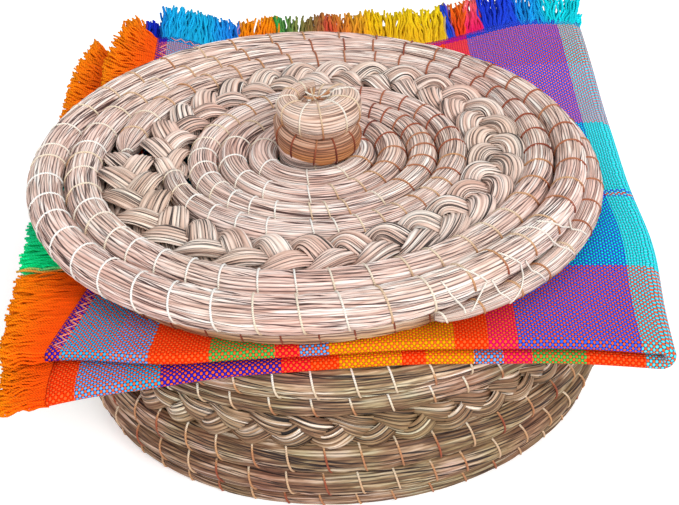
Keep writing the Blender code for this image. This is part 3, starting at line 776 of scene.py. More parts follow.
lid = {
    "centre": (-6.0 * mm, 4.4 * mm),
    "height": 107.26 * mm,
    "look": {"needles": 38, "perNeedle": 3, "needleLength": 60 * mm, "uneven": 0.10, "groove": 0.06,
             "slant": 4 * mm, "pinch": 0.05, "pinchWide": 1.3 * mm, "turn": 2.0},
    "tie": {"from": 186, "to": -8, "slant": 4 * mm, "thread": 0.42 * mm, "pinch": 0.05},
    "tone": {"seed": 8, "palest": math.radians(222), "middle": 0.42, "chance": 0.35, "dip": 0.25,
             "dipFrom": (0.55, 0.45)},
}
lidCentre = {
    "endRadius": 69.0 * mm,
    "bundle": 6.8 * mm,
    "startBundle": 2.2 * mm,
    "startRadius": 2.6 * mm,
    "swellTurns": 1.5,
    "endAngle": math.radians(188),
    "points": 640,
    "spacing": 10.5 * mm,
    "tieSeed": 5,
    "endShare": 0.72,               # share of its thickness to which the end thins, in this share of a turn
    "endOver": 1 / 12,
    "look": {"needles": 34, "seed": 32},
}
lidOuter = {
    "bundle": 7.6 * mm,
    "uneven": 0.9 * mm,             # how much thicker it is on its thick side
    "thickSide": math.radians(225),
    "start": math.radians(170),
    "turns": 2.667,
    "points": 760,
    "seed": 33,
    "spacing": 15.0 * mm,
    "tieSeed": 6,
    "tie": {"thread": 0.48 * mm},
    "lastTurn": 1.02,               # in this last turn the thread goes less far round
    "lastTie": {"thread": 0.5 * mm, "to": -95, "slant": 6 * mm},
    "drop": (2.125, 0.375),         # turns at which the end starts to slip down, and how many it takes
    "dropAngle": math.radians(52),
    "dropThin": 0.1,
    "tailShare": 0.2,               # share of its thickness that is left at the tail's tip
    "tailOver": 1 / 6,
    "startShare": 0.78,
    "startOver": 1 / 12,
    "tipOver": 0.014,
    "tip": 0.06,
}
lidBraid = {
    "wide": 22.8 * mm,
    "start": math.radians(186),
    "fullTurns": 1.02,              # where the plan of the band ends; the strands go a little further
    "leastShare": 0.62,             # width of the planned band at its two ends
    "openOver": 0.16,
    "closeOver": 0.03,
    "waves": 10,
    "perWave": 44,
    "turns": (-0.004, 1.042),
    "opening": (0.012, 0.05),       # turns at which the narrow start opens, and how many it takes
    "drawIn": (0.9, 0.08),          # the end draws in towards the centre coil,
    "drawnIn": 1.6 * mm,
    "endShift": 8 * mm,             # and past a whole turn it shifts outwards
    "shiftOver": 0.04,
    "proud": 0.9 * mm,              # how far it goes under the coils beside it
    "raised": 1.2 * mm,
    "tuck": 4.0 * mm,               # how far the strands' ends go down under their neighbours
    "tuckStart": (-0.004, 0.02),
    "tuckEnd": (1.018, 0.024),
    "strandWide": 5.4 * mm,
    "strandThick": 2.4 * mm,
    "reachShare": 0.72,
    "strandShares": (0.78, 1.1),    # least and most of a strand's size, with the band's width
    "rise": 3.2 * mm,
    "swell": 0.12,
    "look": {"needles": 16, "needleLength": 120 * mm, "uneven": 0.24, "groove": 0.26, "turn": 0.0,
             "tip": 9 * mm, "wander": 60 * mm},
    "seed": 41,
    # a band of braid grass under the last part of the braid stands for the shade seen through its gaps and
    # hides the cloth below
    "ends": {"turns": (0.80, 1.035), "points": 70, "below": 2.4 * mm, "wider": 1.2 * mm,
             "thick": 1.6 * mm, "seed": 45},
}
lidPitch = 2 * lidCentre["bundle"] + seam
braidLead = (lidBraid["start"] - lidOuter["start"]) / fullTurn


def lidBundleAt(passed):
    # the outer coil's bundle: middle + uneven · cos of the angle from its thick side
    return lidOuter["bundle"] + lidOuter["uneven"] * np.cos(
        lidOuter["start"] - fullTurn * passed - lidOuter["thickSide"])


def lidBraidInner(passed):
    # radius just outside the centre coil's last round, which grows by its pitch in a turn
    lead = (lidCentre["endAngle"] - lidBraid["start"]) / fullTurn
    return lidCentre["endRadius"] + lidCentre["bundle"] + seam - lidPitch * (1 - lead) + lidPitch * passed


def lidCoilStart():
    # radius at which the outer coil starts, just clear of the planned band all the way round: the largest of
    # edge / cos(half a step) + bundle - turns · pitch
    grid = np.arange(spiralSteps) / spiralSteps
    bundle = lidBundleAt(grid)
    inside = np.minimum(grid + braidLead, lidBraid["fullTurns"])
    closing = (lidBraid["fullTurns"] - inside) / lidBraid["closeOver"]
    opened = np.clip(np.minimum(inside / lidBraid["openOver"], closing), 0, 1)
    share = lidBraid["leastShare"] + (1 - lidBraid["leastShare"]) * opened
    edge = lidBraidInner(inside) + lidBraid["wide"] * share
    return ((edge + seam) / math.cos(math.pi / spiralSteps) + bundle - grid * (2 * bundle + seam)).max()


def lidBand(passed):
    # inner and outer radius of the braid, which fills the room between the two coils. It starts narrow beside
    # its own end, which draws in towards the tip of the outer coil
    bundle = lidBundleAt(passed - braidLead)
    outside = lidCoilStart() + (passed - braidLead) * (2 * bundle + seam) - bundle
    inside = lidBraidInner(np.minimum(passed, 1))
    inside = inside - lidBraid["drawnIn"] * easeFrom(passed, *lidBraid["drawIn"])
    inside = inside + lidBraid["endShift"] * np.clip((passed - 1) / lidBraid["shiftOver"], 0, 1)
    narrow = lidBraidInner(1.0)
    return inside, narrow + (outside - narrow) * easeFrom(passed, *lidBraid["opening"])


def lidStrand(strand):
    # r = middle + reach · sin w, z = h + rise · sin 2w, with the ends tucked down
    passed = np.linspace(*lidBraid["turns"], lidBraid["waves"] * lidBraid["perWave"])
    inside, outside = lidBand(passed)
    half = (outside - inside) / 2 + lidBraid["proud"]
    share = np.clip(2 * half / lidBraid["wide"], *lidBraid["strandShares"])
    wave = fullTurn * (lidBraid["waves"] * passed / lidBraid["fullTurns"] + strand / 3)
    reach = half - share * lidBraid["strandWide"] * lidBraid["reachShare"]
    start, over = lidBraid["tuckStart"]
    tuck = lidBraid["tuck"] * (ease(1 - (passed - start) / over) + easeFrom(passed, *lidBraid["tuckEnd"]))
    height = lid["height"] + lidBraid["raised"] + share * lidBraid["rise"] * np.sin(2 * wave) - tuck
    radius = (inside + outside) / 2 + reach * np.sin(wave)
    path = ringPoints(radius, lidBraid["start"] - fullTurn * passed, height, lid["centre"])
    wide = share * lidBraid["strandWide"] * (1 + lidBraid["swell"] * np.cos(2 * wave))
    return coilAlong(path, wide, share * lidBraid["strandThick"])


for strand in range(3):
    finish(needleBundle(f"lid_braid_{strand + 1}", lidStrand(strand),
                        {**lidBraid["look"], "seed": lidBraid["seed"] + strand}, grass["braidGrass"]),
           "lid", "braid_grass", f"lid_braid_strand_{strand + 1}")

# painted shade: a sheet of braid grass put under the braid where its gaps show only shade
ends = lidBraid["ends"]
turns = np.linspace(*ends["turns"], ends["points"])
inside, outside = lidBand(turns)
path = ringPoints((inside + outside) / 2, lidBraid["start"] - fullTurn * turns, lid["height"] - ends["below"],
                  lid["centre"])
run = coilAlong(path, (outside - inside) / 2 + ends["wider"], ends["thick"])
finish(needleBundle("lid_braid_ends", run, {**lidBraid["look"], "seed": ends["seed"]}, grass["braidGrass"]),
       "lid", "braid_grass")


# lid's coils

def lidTone(line, share):
    # white at the left and front left, tan in front, rust at the right and behind: middle · (1 - cos a), with
    # the angle a from the palest side, then some chance, and darker where the thread dips at its end
    look = lid["tone"]
    rand = np.random.default_rng(look["seed"])
    middle = line[:, line.shape[1] // 2]
    angle = np.arctan2(middle[:, 1] - lid["centre"][1], middle[:, 0] - lid["centre"][0])
    base = look["middle"] - look["middle"] * np.cos(angle - look["palest"])
    base = np.clip(base + look["chance"] * (rand.random(len(line)) - 0.5), 0, 1)[:, None]
    return np.clip(base + look["dip"] * easeFrom(share[None], *look["dipFrom"]), 0, 1)


def lidOuterPath():
    # the radius grows by a bundle a turn; near the end the coil slips down and out round the turn
    # inside it and thins into a tail: r = inner + reach · cos a, z = level - reach · sin a
    passed = np.linspace(0, lidOuter["turns"], lidOuter["points"])
    bundle = lidBundleAt(passed)
    drop = easeFrom(passed, *lidOuter["drop"])
    turned = lidOuter["dropAngle"] * drop
    tail = np.sqrt(np.clip((passed[-1] - passed) / lidOuter["tailOver"], 0, 1))
    thick = bundle * (lidOuter["tailShare"] + (1 - lidOuter["tailShare"]) * tail)
    thick = thick * (1 - lidOuter["dropThin"] * drop)
    reach = bundle + thick + seam
    radius = lidCoilStart() + (passed - 1) * (2 * bundle + seam) + reach * np.cos(turned)
    path = ringPoints(radius, lidOuter["start"] - fullTurn * passed, lid["height"] - reach * np.sin(turned),
                      lid["centre"])
    grown = lidOuter["startShare"] + (1 - lidOuter["startShare"]) * ease(passed / lidOuter["startOver"])
    tip = np.sqrt(np.clip(passed / lidOuter["tipOver"] + lidOuter["tip"], 0, 1))
    return passed, path, thick * grown * tip


turns, radius, thick = finerTurns(*spiralTurns(lidCentre), lidCentre["points"])
toEnd = turns[-1] - turns
height = lid["height"] + (lidCentre["bundle"] - thick) * math.cos(math.pi / 6)
filled = np.clip(toEnd / lidCentre["endOver"], 0, 1)
thick = thick * (lidCentre["endShare"] + (1 - lidCentre["endShare"]) * filled)
path = ringPoints(radius, lidCentre["endAngle"] + fullTurn * toEnd, height, lid["centre"])
centreRun = coilAlong(path, thick)
centreTies = tiePlaces(centreRun, lidCentre["spacing"], lidCentre["tieSeed"], turns)
finish(needleBundle("lid_centre", centreRun, {**lid["look"], **lidCentre["look"]}, grass["lidGrass"],
                    centreTies), "lid", "lid_grass", "lid_centre_coil")

outerTurns, path, bundle = lidOuterPath()
outerRun = coilAlong(path, bundle)
outerTies = tiePlaces(outerRun, lidOuter["spacing"], lidOuter["tieSeed"], outerTurns)
finish(needleBundle("lid_outer", outerRun, {**lid["look"], "seed": lidOuter["seed"]}, grass["lidGrass"],
                    outerTies), "lid", "lid_grass", "lid_outer_coil")

seat = {
    "radius": 112.3 * mm,
    "height": 93.67 * mm,
    "centre": (-10.0 * mm, 1.5 * mm),
    "bundle": 6.5 * mm,
    "turns": 0.98,
    "points": 250,
    "spacing": 15 * mm,
    "tieSeed": 7,
    "look": {"needles": 20, "seed": 34},
    "tie": {"from": 100, "to": -258},
    "tone": (0.85, 0.1),            # dark rust, as thread that lies in the shade
}
angle = np.pi / 2 - fullTurn * np.linspace(0, seat["turns"], seat["points"])
seatRun = coilAlong(ringPoints(seat["radius"], angle, seat["height"], seat["centre"]), seat["bundle"])
seatTies = tiePlaces(seatRun, seat["spacing"], seat["tieSeed"])
finish(needleBundle("lid_seat", seatRun, {**lid["look"], **seat["look"]}, grass["lidGrass"], seatTies),
       "lid", "lid_grass", "lid_seat_ring")


def seatTone(line, share):
    # the same for every tie, a little darker along it: tone + more · share
    tone, more = seat["tone"]
    return np.full(line.shape[:2], tone) + more * share


# long white stitches hold the end of the outer coil to the turn inside it. Each is a row of places
# on the coil: how many turns from its start, and the angle round its section, 90 on top and 0 outside
endStitches = {
    "places": [
        [(1.662, 60), (1.659, 14), (2.652, 60), (2.652, 20)],
        [(1.648, 78), (1.637, 12), (2.645, 60), (2.649, 20)],
        [(1.634, 8), (2.630, 60), (2.625, -5)],
        [(1.623, 72), (1.613, 8), (2.611, 86), (2.625, -34)],
        [(1.609, 6), (2.605, 80), (2.600, 0)],
        [(1.598, 140), (1.590, 70), (1.585, 10), (2.579, 100)],
        [(1.585, 6), (2.578, 80), (2.572, 0)],
        [(1.585, 88), (1.572, 12), (2.558, 98)],
        [(1.562, 10), (2.560, 90), (2.555, 20)]],
    "perStretch": 7,
    "lift": 0.3 * mm,
    "thread": 0.4 * mm,
    "tone": 0.1,
    "out": np.array([0.35, -0.35, 0.85]),
}


def onOuterCoil(turns, angles):
    # places on the outer coil's skin: centre + (bundle + lift) · (cos a · side + sin a · top)
    centre, side, top = (blend3(turns, outerTurns, outerRun[key]) for key in ("path", "side", "top"))
    reach = (np.interp(turns, outerTurns, outerRun["wide"]) + endStitches["lift"])[:, None]
    angle = np.radians(angles)[:, None]
    return centre + reach * (np.cos(angle) * side + np.sin(angle) * top)


def longStitch(places):
    # between two places of the same turn the thread follows the bundle's skin, and between turns it
    # goes straight across the crease: begin + (end - begin) · share
    parts = []
    share = np.linspace(0, 1, endStitches["perStretch"])
    for (turnA, angleA), (turnB, angleB) in zip(places[:-1], places[1:]):
        if abs(turnB - turnA) < 0.5:
            parts.append(onOuterCoil(turnA + (turnB - turnA) * share, angleA + (angleB - angleA) * share))
        else:
            begin, end = onOuterCoil(np.array([turnA, turnB]), np.array([angleA, angleB]))
            parts.append(begin + (end - begin) * share[:, None])
    line = np.concatenate([part[:-1] for part in parts[:-1]] + [parts[-1]])
    steps = np.append(0, np.cumsum(np.linalg.norm(np.diff(line, axis=0), axis=1)))
    line = blend3(np.linspace(0, steps[-1], threadLook["points"]), steps, line)[None]
    return {"line": line, "out": np.broadcast_to(unit(endStitches["out"]), line.shape),
            "tone": np.full(line.shape[:2], endStitches["tone"]), "thread": endStitches["thread"]}


lastTurn = outerTies > np.interp(outerTurns[-1] - lidOuter["lastTurn"], outerTurns, outerRun["along"])
finish(threadPiece("lid_thread", [
    threadTies(centreRun, centreTies, lid["tie"], lidTone),
    threadTies(outerRun, outerTies[~lastTurn], {**lid["tie"], **lidOuter["tie"]}, lidTone),
    threadTies(outerRun, outerTies[lastTurn], {**lid["tie"], **lidOuter["lastTie"]}, lidTone),
    threadTies(seatRun, seatTies, {**lid["tie"], **seat["tie"]}, seatTone)]
    + [longStitch(places) for places in endStitches["places"]],
    sewingThread), "lid", "lid_grass")


# knob

knob = {
    "radii": [12.5 * mm, 13.1 * mm],
    "heights": [119.77 * mm, 134.33 * mm],
    "bundles": [7.3 * mm, 7.9 * mm],
    "low": 113.45 * mm,
    "high": 141.17 * mm,
    "climb": 0.75,
    "tipShare": 1 / 3,
    "perTurn": 110,
    "spacing": 7.2 * mm,
    "tieSeed": 9,
    "look": {"needles": 34, "needleLength": 40 * mm, "uneven": 0.035, "groove": 0.03, "seed": 51,
             "slant": 1 * mm, "pinch": 0.02, "pinchWide": 1.0 * mm, "turn": 3.0, "square": 2.7},
    "tie": {"from": 200, "to": -80, "slant": 1.5 * mm, "thread": 0.42 * mm, "pinch": 0.02, "square": 2.7},
    "tone": {"seed": 10, "pale": 138 * mm, "over": 20 * mm, "least": 0.05, "chance": 0.35, "low": 0.7},
}
foot = {                            # a thin round of lid grass fills the crease between the knob and the lid
    "radius": 15.4 * mm,
    "height": 117.0 * mm,
    "bundle": 3.8 * mm,
    "points": 96,
    "look": {"needles": 20, "seed": 52, "square": 2.0},
}
stub = {                            # the bundle's end in the knob's middle
    "radius": 4.3 * mm,
    "top": 138.9 * mm,
    "dome": 2.0 * mm,
    "bottom": 113.5 * mm,
    "straight": 10 * mm,
    "rings": 8,
    "points": 28,
    "grain": (0.05, 7),             # how wavy its edge is, and how many waves it has
    "rough": (0.25 * mm, 5, 9),     # height of the bumps on top, their waves round and along
    "seed": 3,
}
crossing = {                        # threads that cross over the stub
    "angles": np.radians([12, 48, 84, 122, 158, 30, 100]),
    "tones": np.array([0.6, 0.05, 0.5, 0.65, 0.1, 0.55, 0.35]),
    "reach": 6.2 * mm,
    "aside": (1.1 * mm, 1.0 * mm),
    "height": 139.2 * mm,
    "bow": 1.6 * mm,
    "layer": 0.16 * mm,
    "thread": 0.42 * mm,
}


def knobTone(line, share):
    # pale over the top of the knob, rust low down: least + chance · random + low · the way down
    look = knob["tone"]
    rand = np.random.default_rng(look["seed"])
    down = np.clip((look["pale"] - line[..., 2]) / look["over"], 0, 1)
    return np.clip(look["least"] + look["chance"] * rand.random((len(line), 1)) + look["low"] * down, 0, 1)


def stubRings():
    # a dome, z = top - dome · s², over a straight side, with a wavy edge r = R s (1 + grain · sin na)
    share = np.append(np.linspace(0.06, 1, stub["rings"]), [1.0, 1.0])[:, None]
    height = stub["top"] - stub["dome"] * share ** 2
    height[-2:, 0] = stub["bottom"] + stub["straight"], stub["bottom"]
    turn = fullTurn * np.arange(stub["points"]) / stub["points"]
    grain, waves = stub["grain"]
    radius = stub["radius"] * share * (1 + grain * np.sin(waves * turn))
    rough, wavesRound, wavesAlong = stub["rough"]
    height = height + rough * np.sin(wavesRound * turn) * np.sin(wavesAlong * share)
    return ringPoints(radius, turn, height, lid["centre"]), np.cumsum(share) * mm


def crossingLines():
    # each thread bows over the stub: centre + reach · s · (cos a, sin a) + a step aside, z = h + bow · s²
    angle = crossing["angles"][:, None]
    share = np.linspace(-1, 1, threadLook["points"])
    asideX, asideY = crossing["aside"]
    x = lid["centre"][0] + crossing["reach"] * share * np.cos(angle) + asideX * np.sin(angle * 3)
    y = lid["centre"][1] + crossing["reach"] * share * np.sin(angle) + asideY * np.cos(angle * 5)
    layer = crossing["layer"] * np.arange(len(angle))[:, None]
    return np.stack([x, y, crossing["height"] + crossing["bow"] * share ** 2 + layer], -1)


knobRun = coilAlong(*stackedPath(knob, lid["centre"]))
knobTies = tiePlaces(knobRun, knob["spacing"], knob["tieSeed"])
finish(needleBundle("knob_coil_bundle", knobRun, knob["look"], grass["knobGrass"], knobTies),
       "lid", "knob_grass", "knob_coil")
angle = fullTurn * np.arange(foot["points"]) / foot["points"]
path = ringPoints(foot["radius"], angle, foot["height"], lid["centre"])
footRun = coilAlong(path, foot["bundle"], closed=True)
finish(needleBundle("knob_foot", footRun, {**knob["look"], **foot["look"]}, grass["lidGrass"]),
       "lid", "lid_grass")
rings, along = stubRings()
tone = np.random.default_rng(stub["seed"]).random(rings.shape[:2])[None]
marks = {"tone": tone, "border": 0 * tone}
finish(tubeMesh("knob_stub", rings[None], along[None], marks, grass["knobGrass"]),
       "lid", "knob_grass", "knob_core")
line = crossingLines()
finish(threadPiece("knob_thread", [
    threadTies(knobRun, knobTies, knob["tie"], knobTone),
    {"line": line, "out": np.broadcast_to(up, line.shape), "thread": crossing["thread"],
     "tone": np.broadcast_to(crossing["tones"][:, None], line.shape[:2])}],
    sewingThread), "lid", "knob_grass")


# napkin

napkin = {
    "width": 511.5 * mm,            # across, over both pairs of layers
    "length": 560 * mm,             # front to back, over both layers of a pair
    "thickness": 0.9 * mm,
    "upper": 84.6 * mm,             # middle heights of the two pairs
    "lower": 76.9 * mm,
    "half": 2.15 * mm,              # from a pair's middle to each of its layers
    "front": -115.5 * mm,
    "left": 118 * mm,
    "right": 136.0 * mm,
    "foldInset": 0.5 * mm,
    "skewOver": 110 * mm,           # from a hem, over which the cloth takes up the hem's slant
    # a hem's x, how far it slants, the y from which it does, and the length over which
    "upperHem": (-96 * mm, -29 * mm, -10 * mm, 106 * mm),
    "lowerHem": (-118 * mm, -6 * mm, -60 * mm, 50 * mm),
    # points in each stretch of the grid: hem to fold, round the fold, fold to hem
    "gridAcross": [62, 12, 62],
    "gridAlong": [66, 9, 66],
}
drapes = {                          # a pair is where a change starts and the length that it takes
    "acrossLess": 6.6 * mm,         # the right fold's own width
    "flare": 10 * mm,               # how far the right side flares, from the front to the back
    "flareOver": 277.5 * mm,
    "bulge": 3.6 * mm,              # the right fold swells a little near the front
    "bulgeY": -42 * mm,
    "bulgeOver": 34 * mm,
    "corners": 8 * mm,              # how far the front corners reach forward
    "setback": 9 * mm,              # how far the upper pair's front left corner stands back
    "setbackFrom": (60 * mm, 65 * mm),
    "sagFrom": (119 * mm, 66 * mm),
    "sag": 3 * mm,
    "cornerSag": 2 * mm,
    "sagPower": 1.5,
    "rippleFrom": (108 * mm, 20 * mm),
    "ripple": 0.9,
    "backFrom": (70 * mm, 88 * mm),
    "slantRight": (45 * mm, 75 * mm),
    "slantLeft": (45 * mm, 45 * mm),
    "slants": (15 * mm, 17 * mm),   # how far the two back corners stand further back
    "slantLift": 0.5,               # how much they rise with it, and which share of that the lower pair has
    "lowerLift": 0.7,
}
ripples = {"high": 0.5 * mm, "lengths": (23 * mm, 31 * mm), "shifts": (1.3, 0.4), "fineHigh": 0.35 * mm,
           "fineLengths": (11 * mm, 17 * mm)}


def upperHem(y):
    # the upper pair's open edge slants in towards the lid's left side, straight
    x, slant, start, over = napkin["upperHem"]
    return x + slant * np.clip((start - y) / over, 0, 1)


def lowerHem(y):
    # the lower pair's open edge slants out a little near the front, eased
    x, slant, start, over = napkin["lowerHem"]
    return x + slant * ease((start - y) / over)


def ripple(x, y):
    # long low waves of the cloth, the same for all its layers: sin x · sin y, and finer ones sin(x + y)
    lengthX, lengthY = ripples["lengths"]
    shiftX, shiftY = ripples["shifts"]
    fineX, fineY = ripples["fineLengths"]
    return (ripples["high"] * np.sin(x / lengthX + shiftX) * np.sin(y / lengthY + shiftY)
            + ripples["fineHigh"] * np.sin(x / fineX + y / fineY))


def backSlant(x):
    # how far the cloth's back edge stands further back at its two corners: an eased rise on each side
    right, left = drapes["slants"]
    return right * easeFrom(x, *drapes["slantRight"]) + left * easeFrom(-x, *drapes["slantLeft"])


def drape(x, y, z, level):
    # level is 1 for the upper pair and 0 for the lower one. The right side flares towards the back, the front
    # corners reach forward, and past the rim the cloth sinks as the 1.5th power of the way out
    across = np.clip((x + napkin["left"]) / (napkin["left"] + napkin["right"] - drapes["acrossLess"]), 0, 1)
    front = np.clip(y / napkin["front"], 0, 1)
    x = x + drapes["flare"] * across * (y - napkin["front"]) / drapes["flareOver"]
    x = x + drapes["bulge"] * across ** 3 * np.exp(-((y - drapes["bulgeY"]) / drapes["bulgeOver"]) ** 2)
    y = y - drapes["corners"] * front * (x / napkin["left"]) ** 2 * np.where(x < 0, 1 - level, 1)
    y = y + drapes["setback"] * front * level * easeFrom(-x, *drapes["setbackFrom"])
    backShare = easeFrom(y, *drapes["backFrom"])
    y = y + backSlant(x) * backShare
    sagStart, sagReach = drapes["sagFrom"]
    past = np.clip((np.hypot(x, y) - sagStart) / sagReach, 0, None)
    corner = np.clip(-x / napkin["left"], 0, 1) * front * (1 - level)
    rippleStart, rippleOver = drapes["rippleFrom"]
    out = np.clip((np.hypot(x, y) - rippleStart) / rippleOver, 0, 1)
    z = z - (drapes["sag"] + drapes["cornerSag"] * corner) * past ** drapes["sagPower"]
    z = z + ripple(x, y) * out * drapes["ripple"]
    lift = drapes["slantLift"] * (drapes["lowerLift"] + (1 - drapes["lowerLift"]) * level)
    return np.stack(np.broadcast_arrays(x, y, z + backSlant(x) * backShare * lift), -1)


bendRadius = (napkin["upper"] - napkin["lower"]) / 2
bendLength = np.pi * bendRadius
straight = (napkin["width"] - bendLength) / 2
arc = np.pi * napkin["half"] / 2


def napkinPlace(s, t):
    # first fold: the cloth turns over at the front, y = front + |t|, and its layer stands ± half from the
    # pair's middle. Second fold: the pair turns under at the right about an axis between the two pairs
    half = napkin["half"]
    onArc = np.abs(t) < arc
    y = napkin["front"] + half + np.where(onArc, -half * np.cos(t / half), np.abs(t) - arc)
    off = np.where(onArc, half * np.sin(t / half), half * np.sign(t))
    turned = np.clip((s - straight) / bendRadius, 0, np.pi)
    fromHem = np.minimum(np.minimum(s, napkin["width"] - s), straight)
    foldX = napkin["right"] - bendRadius - half - napkin["foldInset"]
    hem = np.where(s < napkin["width"] / 2, upperHem(y), lowerHem(y))
    skew = (hem - foldX + straight) * (1 - ease(fromHem / napkin["skewOver"]))
    x = foldX - straight + fromHem + skew + (bendRadius + off) * np.sin(turned)
    z = (napkin["upper"] + napkin["lower"]) / 2 + (bendRadius + off) * np.cos(turned)
    return drape(x, y, z, (1 + np.cos(turned)) / 2)


yarnColours = {name: srgb(*rgb) for name, rgb in {
    "navy": (48, 30, 182), "indigo": (52, 100, 255), "lavender": (104, 176, 255), "lightBlue": (40, 184, 250),
    "paleCyan": (90, 228, 255), "orange": (255, 50, 0), "green": (70, 190, 86), "red": (250, 14, 40),
    "yellow": (255, 172, 0), "magenta": (246, 10, 96), "turquoise": (0, 244, 244),
    "weftOrange": (255, 98, 40), "pink": (255, 120, 130)}.items()}
plaidLook = {                       # where each stripe starts, in mm from the hem and from the front fold
    "across": [
        (0, "navy"), (5.8, "lightBlue"), (24.7, "lavender"), (41.3, "orange"), (65.7, "green"), (90, "red"),
        (101, "lavender"), (113.3, "yellow"), (165.4, "orange"), (179.8, "magenta"), (191.3, "indigo"),
        (240.2, "paleCyan"), (267.3, "orange"), (290.6, "green"), (312.5, "magenta"), (324.7, "lavender"),
        (336.1, "yellow"), (357, "orange"), (365.7, "yellow"), (392.5, "orange"), (404.5, "red"),
        (416.6, "navy"), (464.4, "lightBlue"), (478.4, "lavender"), (498, "orange")],
    "along": [
        (0, "weftOrange"), (52, "turquoise"), (105, "indigo"), (107, "orange"), (108.5, "indigo"),
        (110.5, "turquoise"), (176, "pink"), (232, "weftOrange"), (272, "navy")],
    "alongReach": 282.5 * mm,
    "yarn": 1.2 * mm,
    "wobble": 1.1 * mm,
    "wobbleScale": 240.0,
    "roughness": 0.9,
    "specular": 0.05,
    "edge": (8.0, -0.8),            # factor and shift that make the weave's crossings sharp
    # gapAt, gapSharp and gapDepth place and deepen the painted shade in the gaps between yarns
    "gapAt": 0.06,                  # value of the crossing waves where the dark gaps lie
    "gapSharp": 2.3,
    "gapDepth": 0.95,
    "greenShare": 0.6,
    # crest: factor and shift of the painted shade down each yarn's sides, away from its crest
    "crest": (0.9, 0.55),
    "bump": (0.8, 0.5 * mm),
}


def stripesOf(place, rows, reach):
    # the colour of the stripe at a place, as a stepped ramp of place / reach
    rows = [(start * mm / reach, yarnColours[name]) for start, name in rows]
    return rampOf(maths("DIVIDE", place, reach), rows, "CONSTANT")


def clothMaterial(name):
    # two sets of stripes meet in a plain weave: the sign of sin(s) · sin(t) says which yarn is on top, with
    # painted shade in the gaps between yarns and down their sides
    made, tree, shader = newMaterial(name, plaidLook["roughness"], plaidLook["specular"])
    flow = flowOf(tree)
    s, t = partsOf(flow)[:2]
    noise = addNode(tree, "TexNoise", Vector=flow, Scale=plaidLook["wobbleScale"], Detail=1.0).outputs["Fac"]
    wobble = weightedSum(-plaidLook["wobble"] / 2, (noise, plaidLook["wobble"]))
    s, t = maths("ADD", s, wobble), maths("ADD", t, wobble)
    across = stripesOf(s, plaidLook["across"], napkin["width"])
    along = stripesOf(maths("ABSOLUTE", t), plaidLook["along"], plaidLook["alongReach"])
    sineS, sineT = (maths("SINE", maths("MULTIPLY", value, math.pi / plaidLook["yarn"])) for value in (s, t))
    crossed = maths("MULTIPLY", sineS, sineT)
    colour = mixed(maths("MULTIPLY_ADD", crossed, *plaidLook["edge"], clamp=True), across, along)
    # painted shade: a dark line round each crossing yarn, where |crossed - gapAt| is small, is deepest where
    # the across yarns are blue or green, by the square root of how much, so that bright orange stays bright
    gap = maths("ABSOLUTE", maths("SUBTRACT", crossed, plaidLook["gapAt"]))
    gap = maths("SUBTRACT", 1.0, maths("MULTIPLY", gap, plaidLook["gapSharp"], clamp=True))
    channels = addNode(tree, "SeparateColor", Color=across).outputs
    cool = maths("MULTIPLY_ADD", channels[1], plaidLook["greenShare"], channels[2], clamp=True)
    gap = maths("MULTIPLY", gap, maths("MULTIPLY", maths("POWER", cool, 0.5), plaidLook["gapDepth"]))
    colour = mixed(1.0, colour, maths("SUBTRACT", 1.0, gap), "MULTIPLY")
    # painted shade: each yarn darkens away from its crest, which is also the bump's height
    crest = maths("POWER", maths("ABSOLUTE", crossed), 0.5)
    colour = mixed(1.0, colour, maths("MULTIPLY_ADD", crest, *plaidLook["crest"], clamp=True), "MULTIPLY")
    dress(shader, colour, crest, *plaidLook["bump"])
    return made


def sheetMesh(name, s, t, material):
    # a grid of the flat cloth's own coordinates, carried through both folds
    gridS, gridT = np.meshgrid(s, t)
    points = napkinPlace(gridS, gridT)
    rows, columns = gridS.shape
    row, column = np.meshgrid(np.arange(rows - 1), np.arange(columns - 1), indexing="ij")
    first = (row * columns + column).ravel()
    quads = np.stack([first, first + 1, first + columns + 1, first + columns], -1)
    flat = np.stack([gridS, gridT], -1).reshape(-1, 2)
    return buildMesh(name, points.reshape(-1, 3), [quads], [flat[quads]], {}, material)


def bentGrid(places, counts):
    # evenly spaced values in each stretch between the places, by its own count
    parts = [np.linspace(start, end, count)[:-1]
             for start, end, count in zip(places[:-1], places[1:], counts)]
    return np.append(np.concatenate(parts), places[-1])


across = bentGrid([0, straight, straight + bendLength, napkin["width"]], napkin["gridAcross"])
along = bentGrid([-napkin["length"] / 2, -arc, arc, napkin["length"] / 2], napkin["gridAlong"])
cloth = sheetMesh("napkin", across, along, clothMaterial("plaidCotton"))
skin = cloth.modifiers.new("thickness", "SOLIDIFY")
skin.thickness = napkin["thickness"]
skin.offset = 0
finish(cloth, "cloth", "plaid_cotton", "folded_napkin")


# napkin's fringes

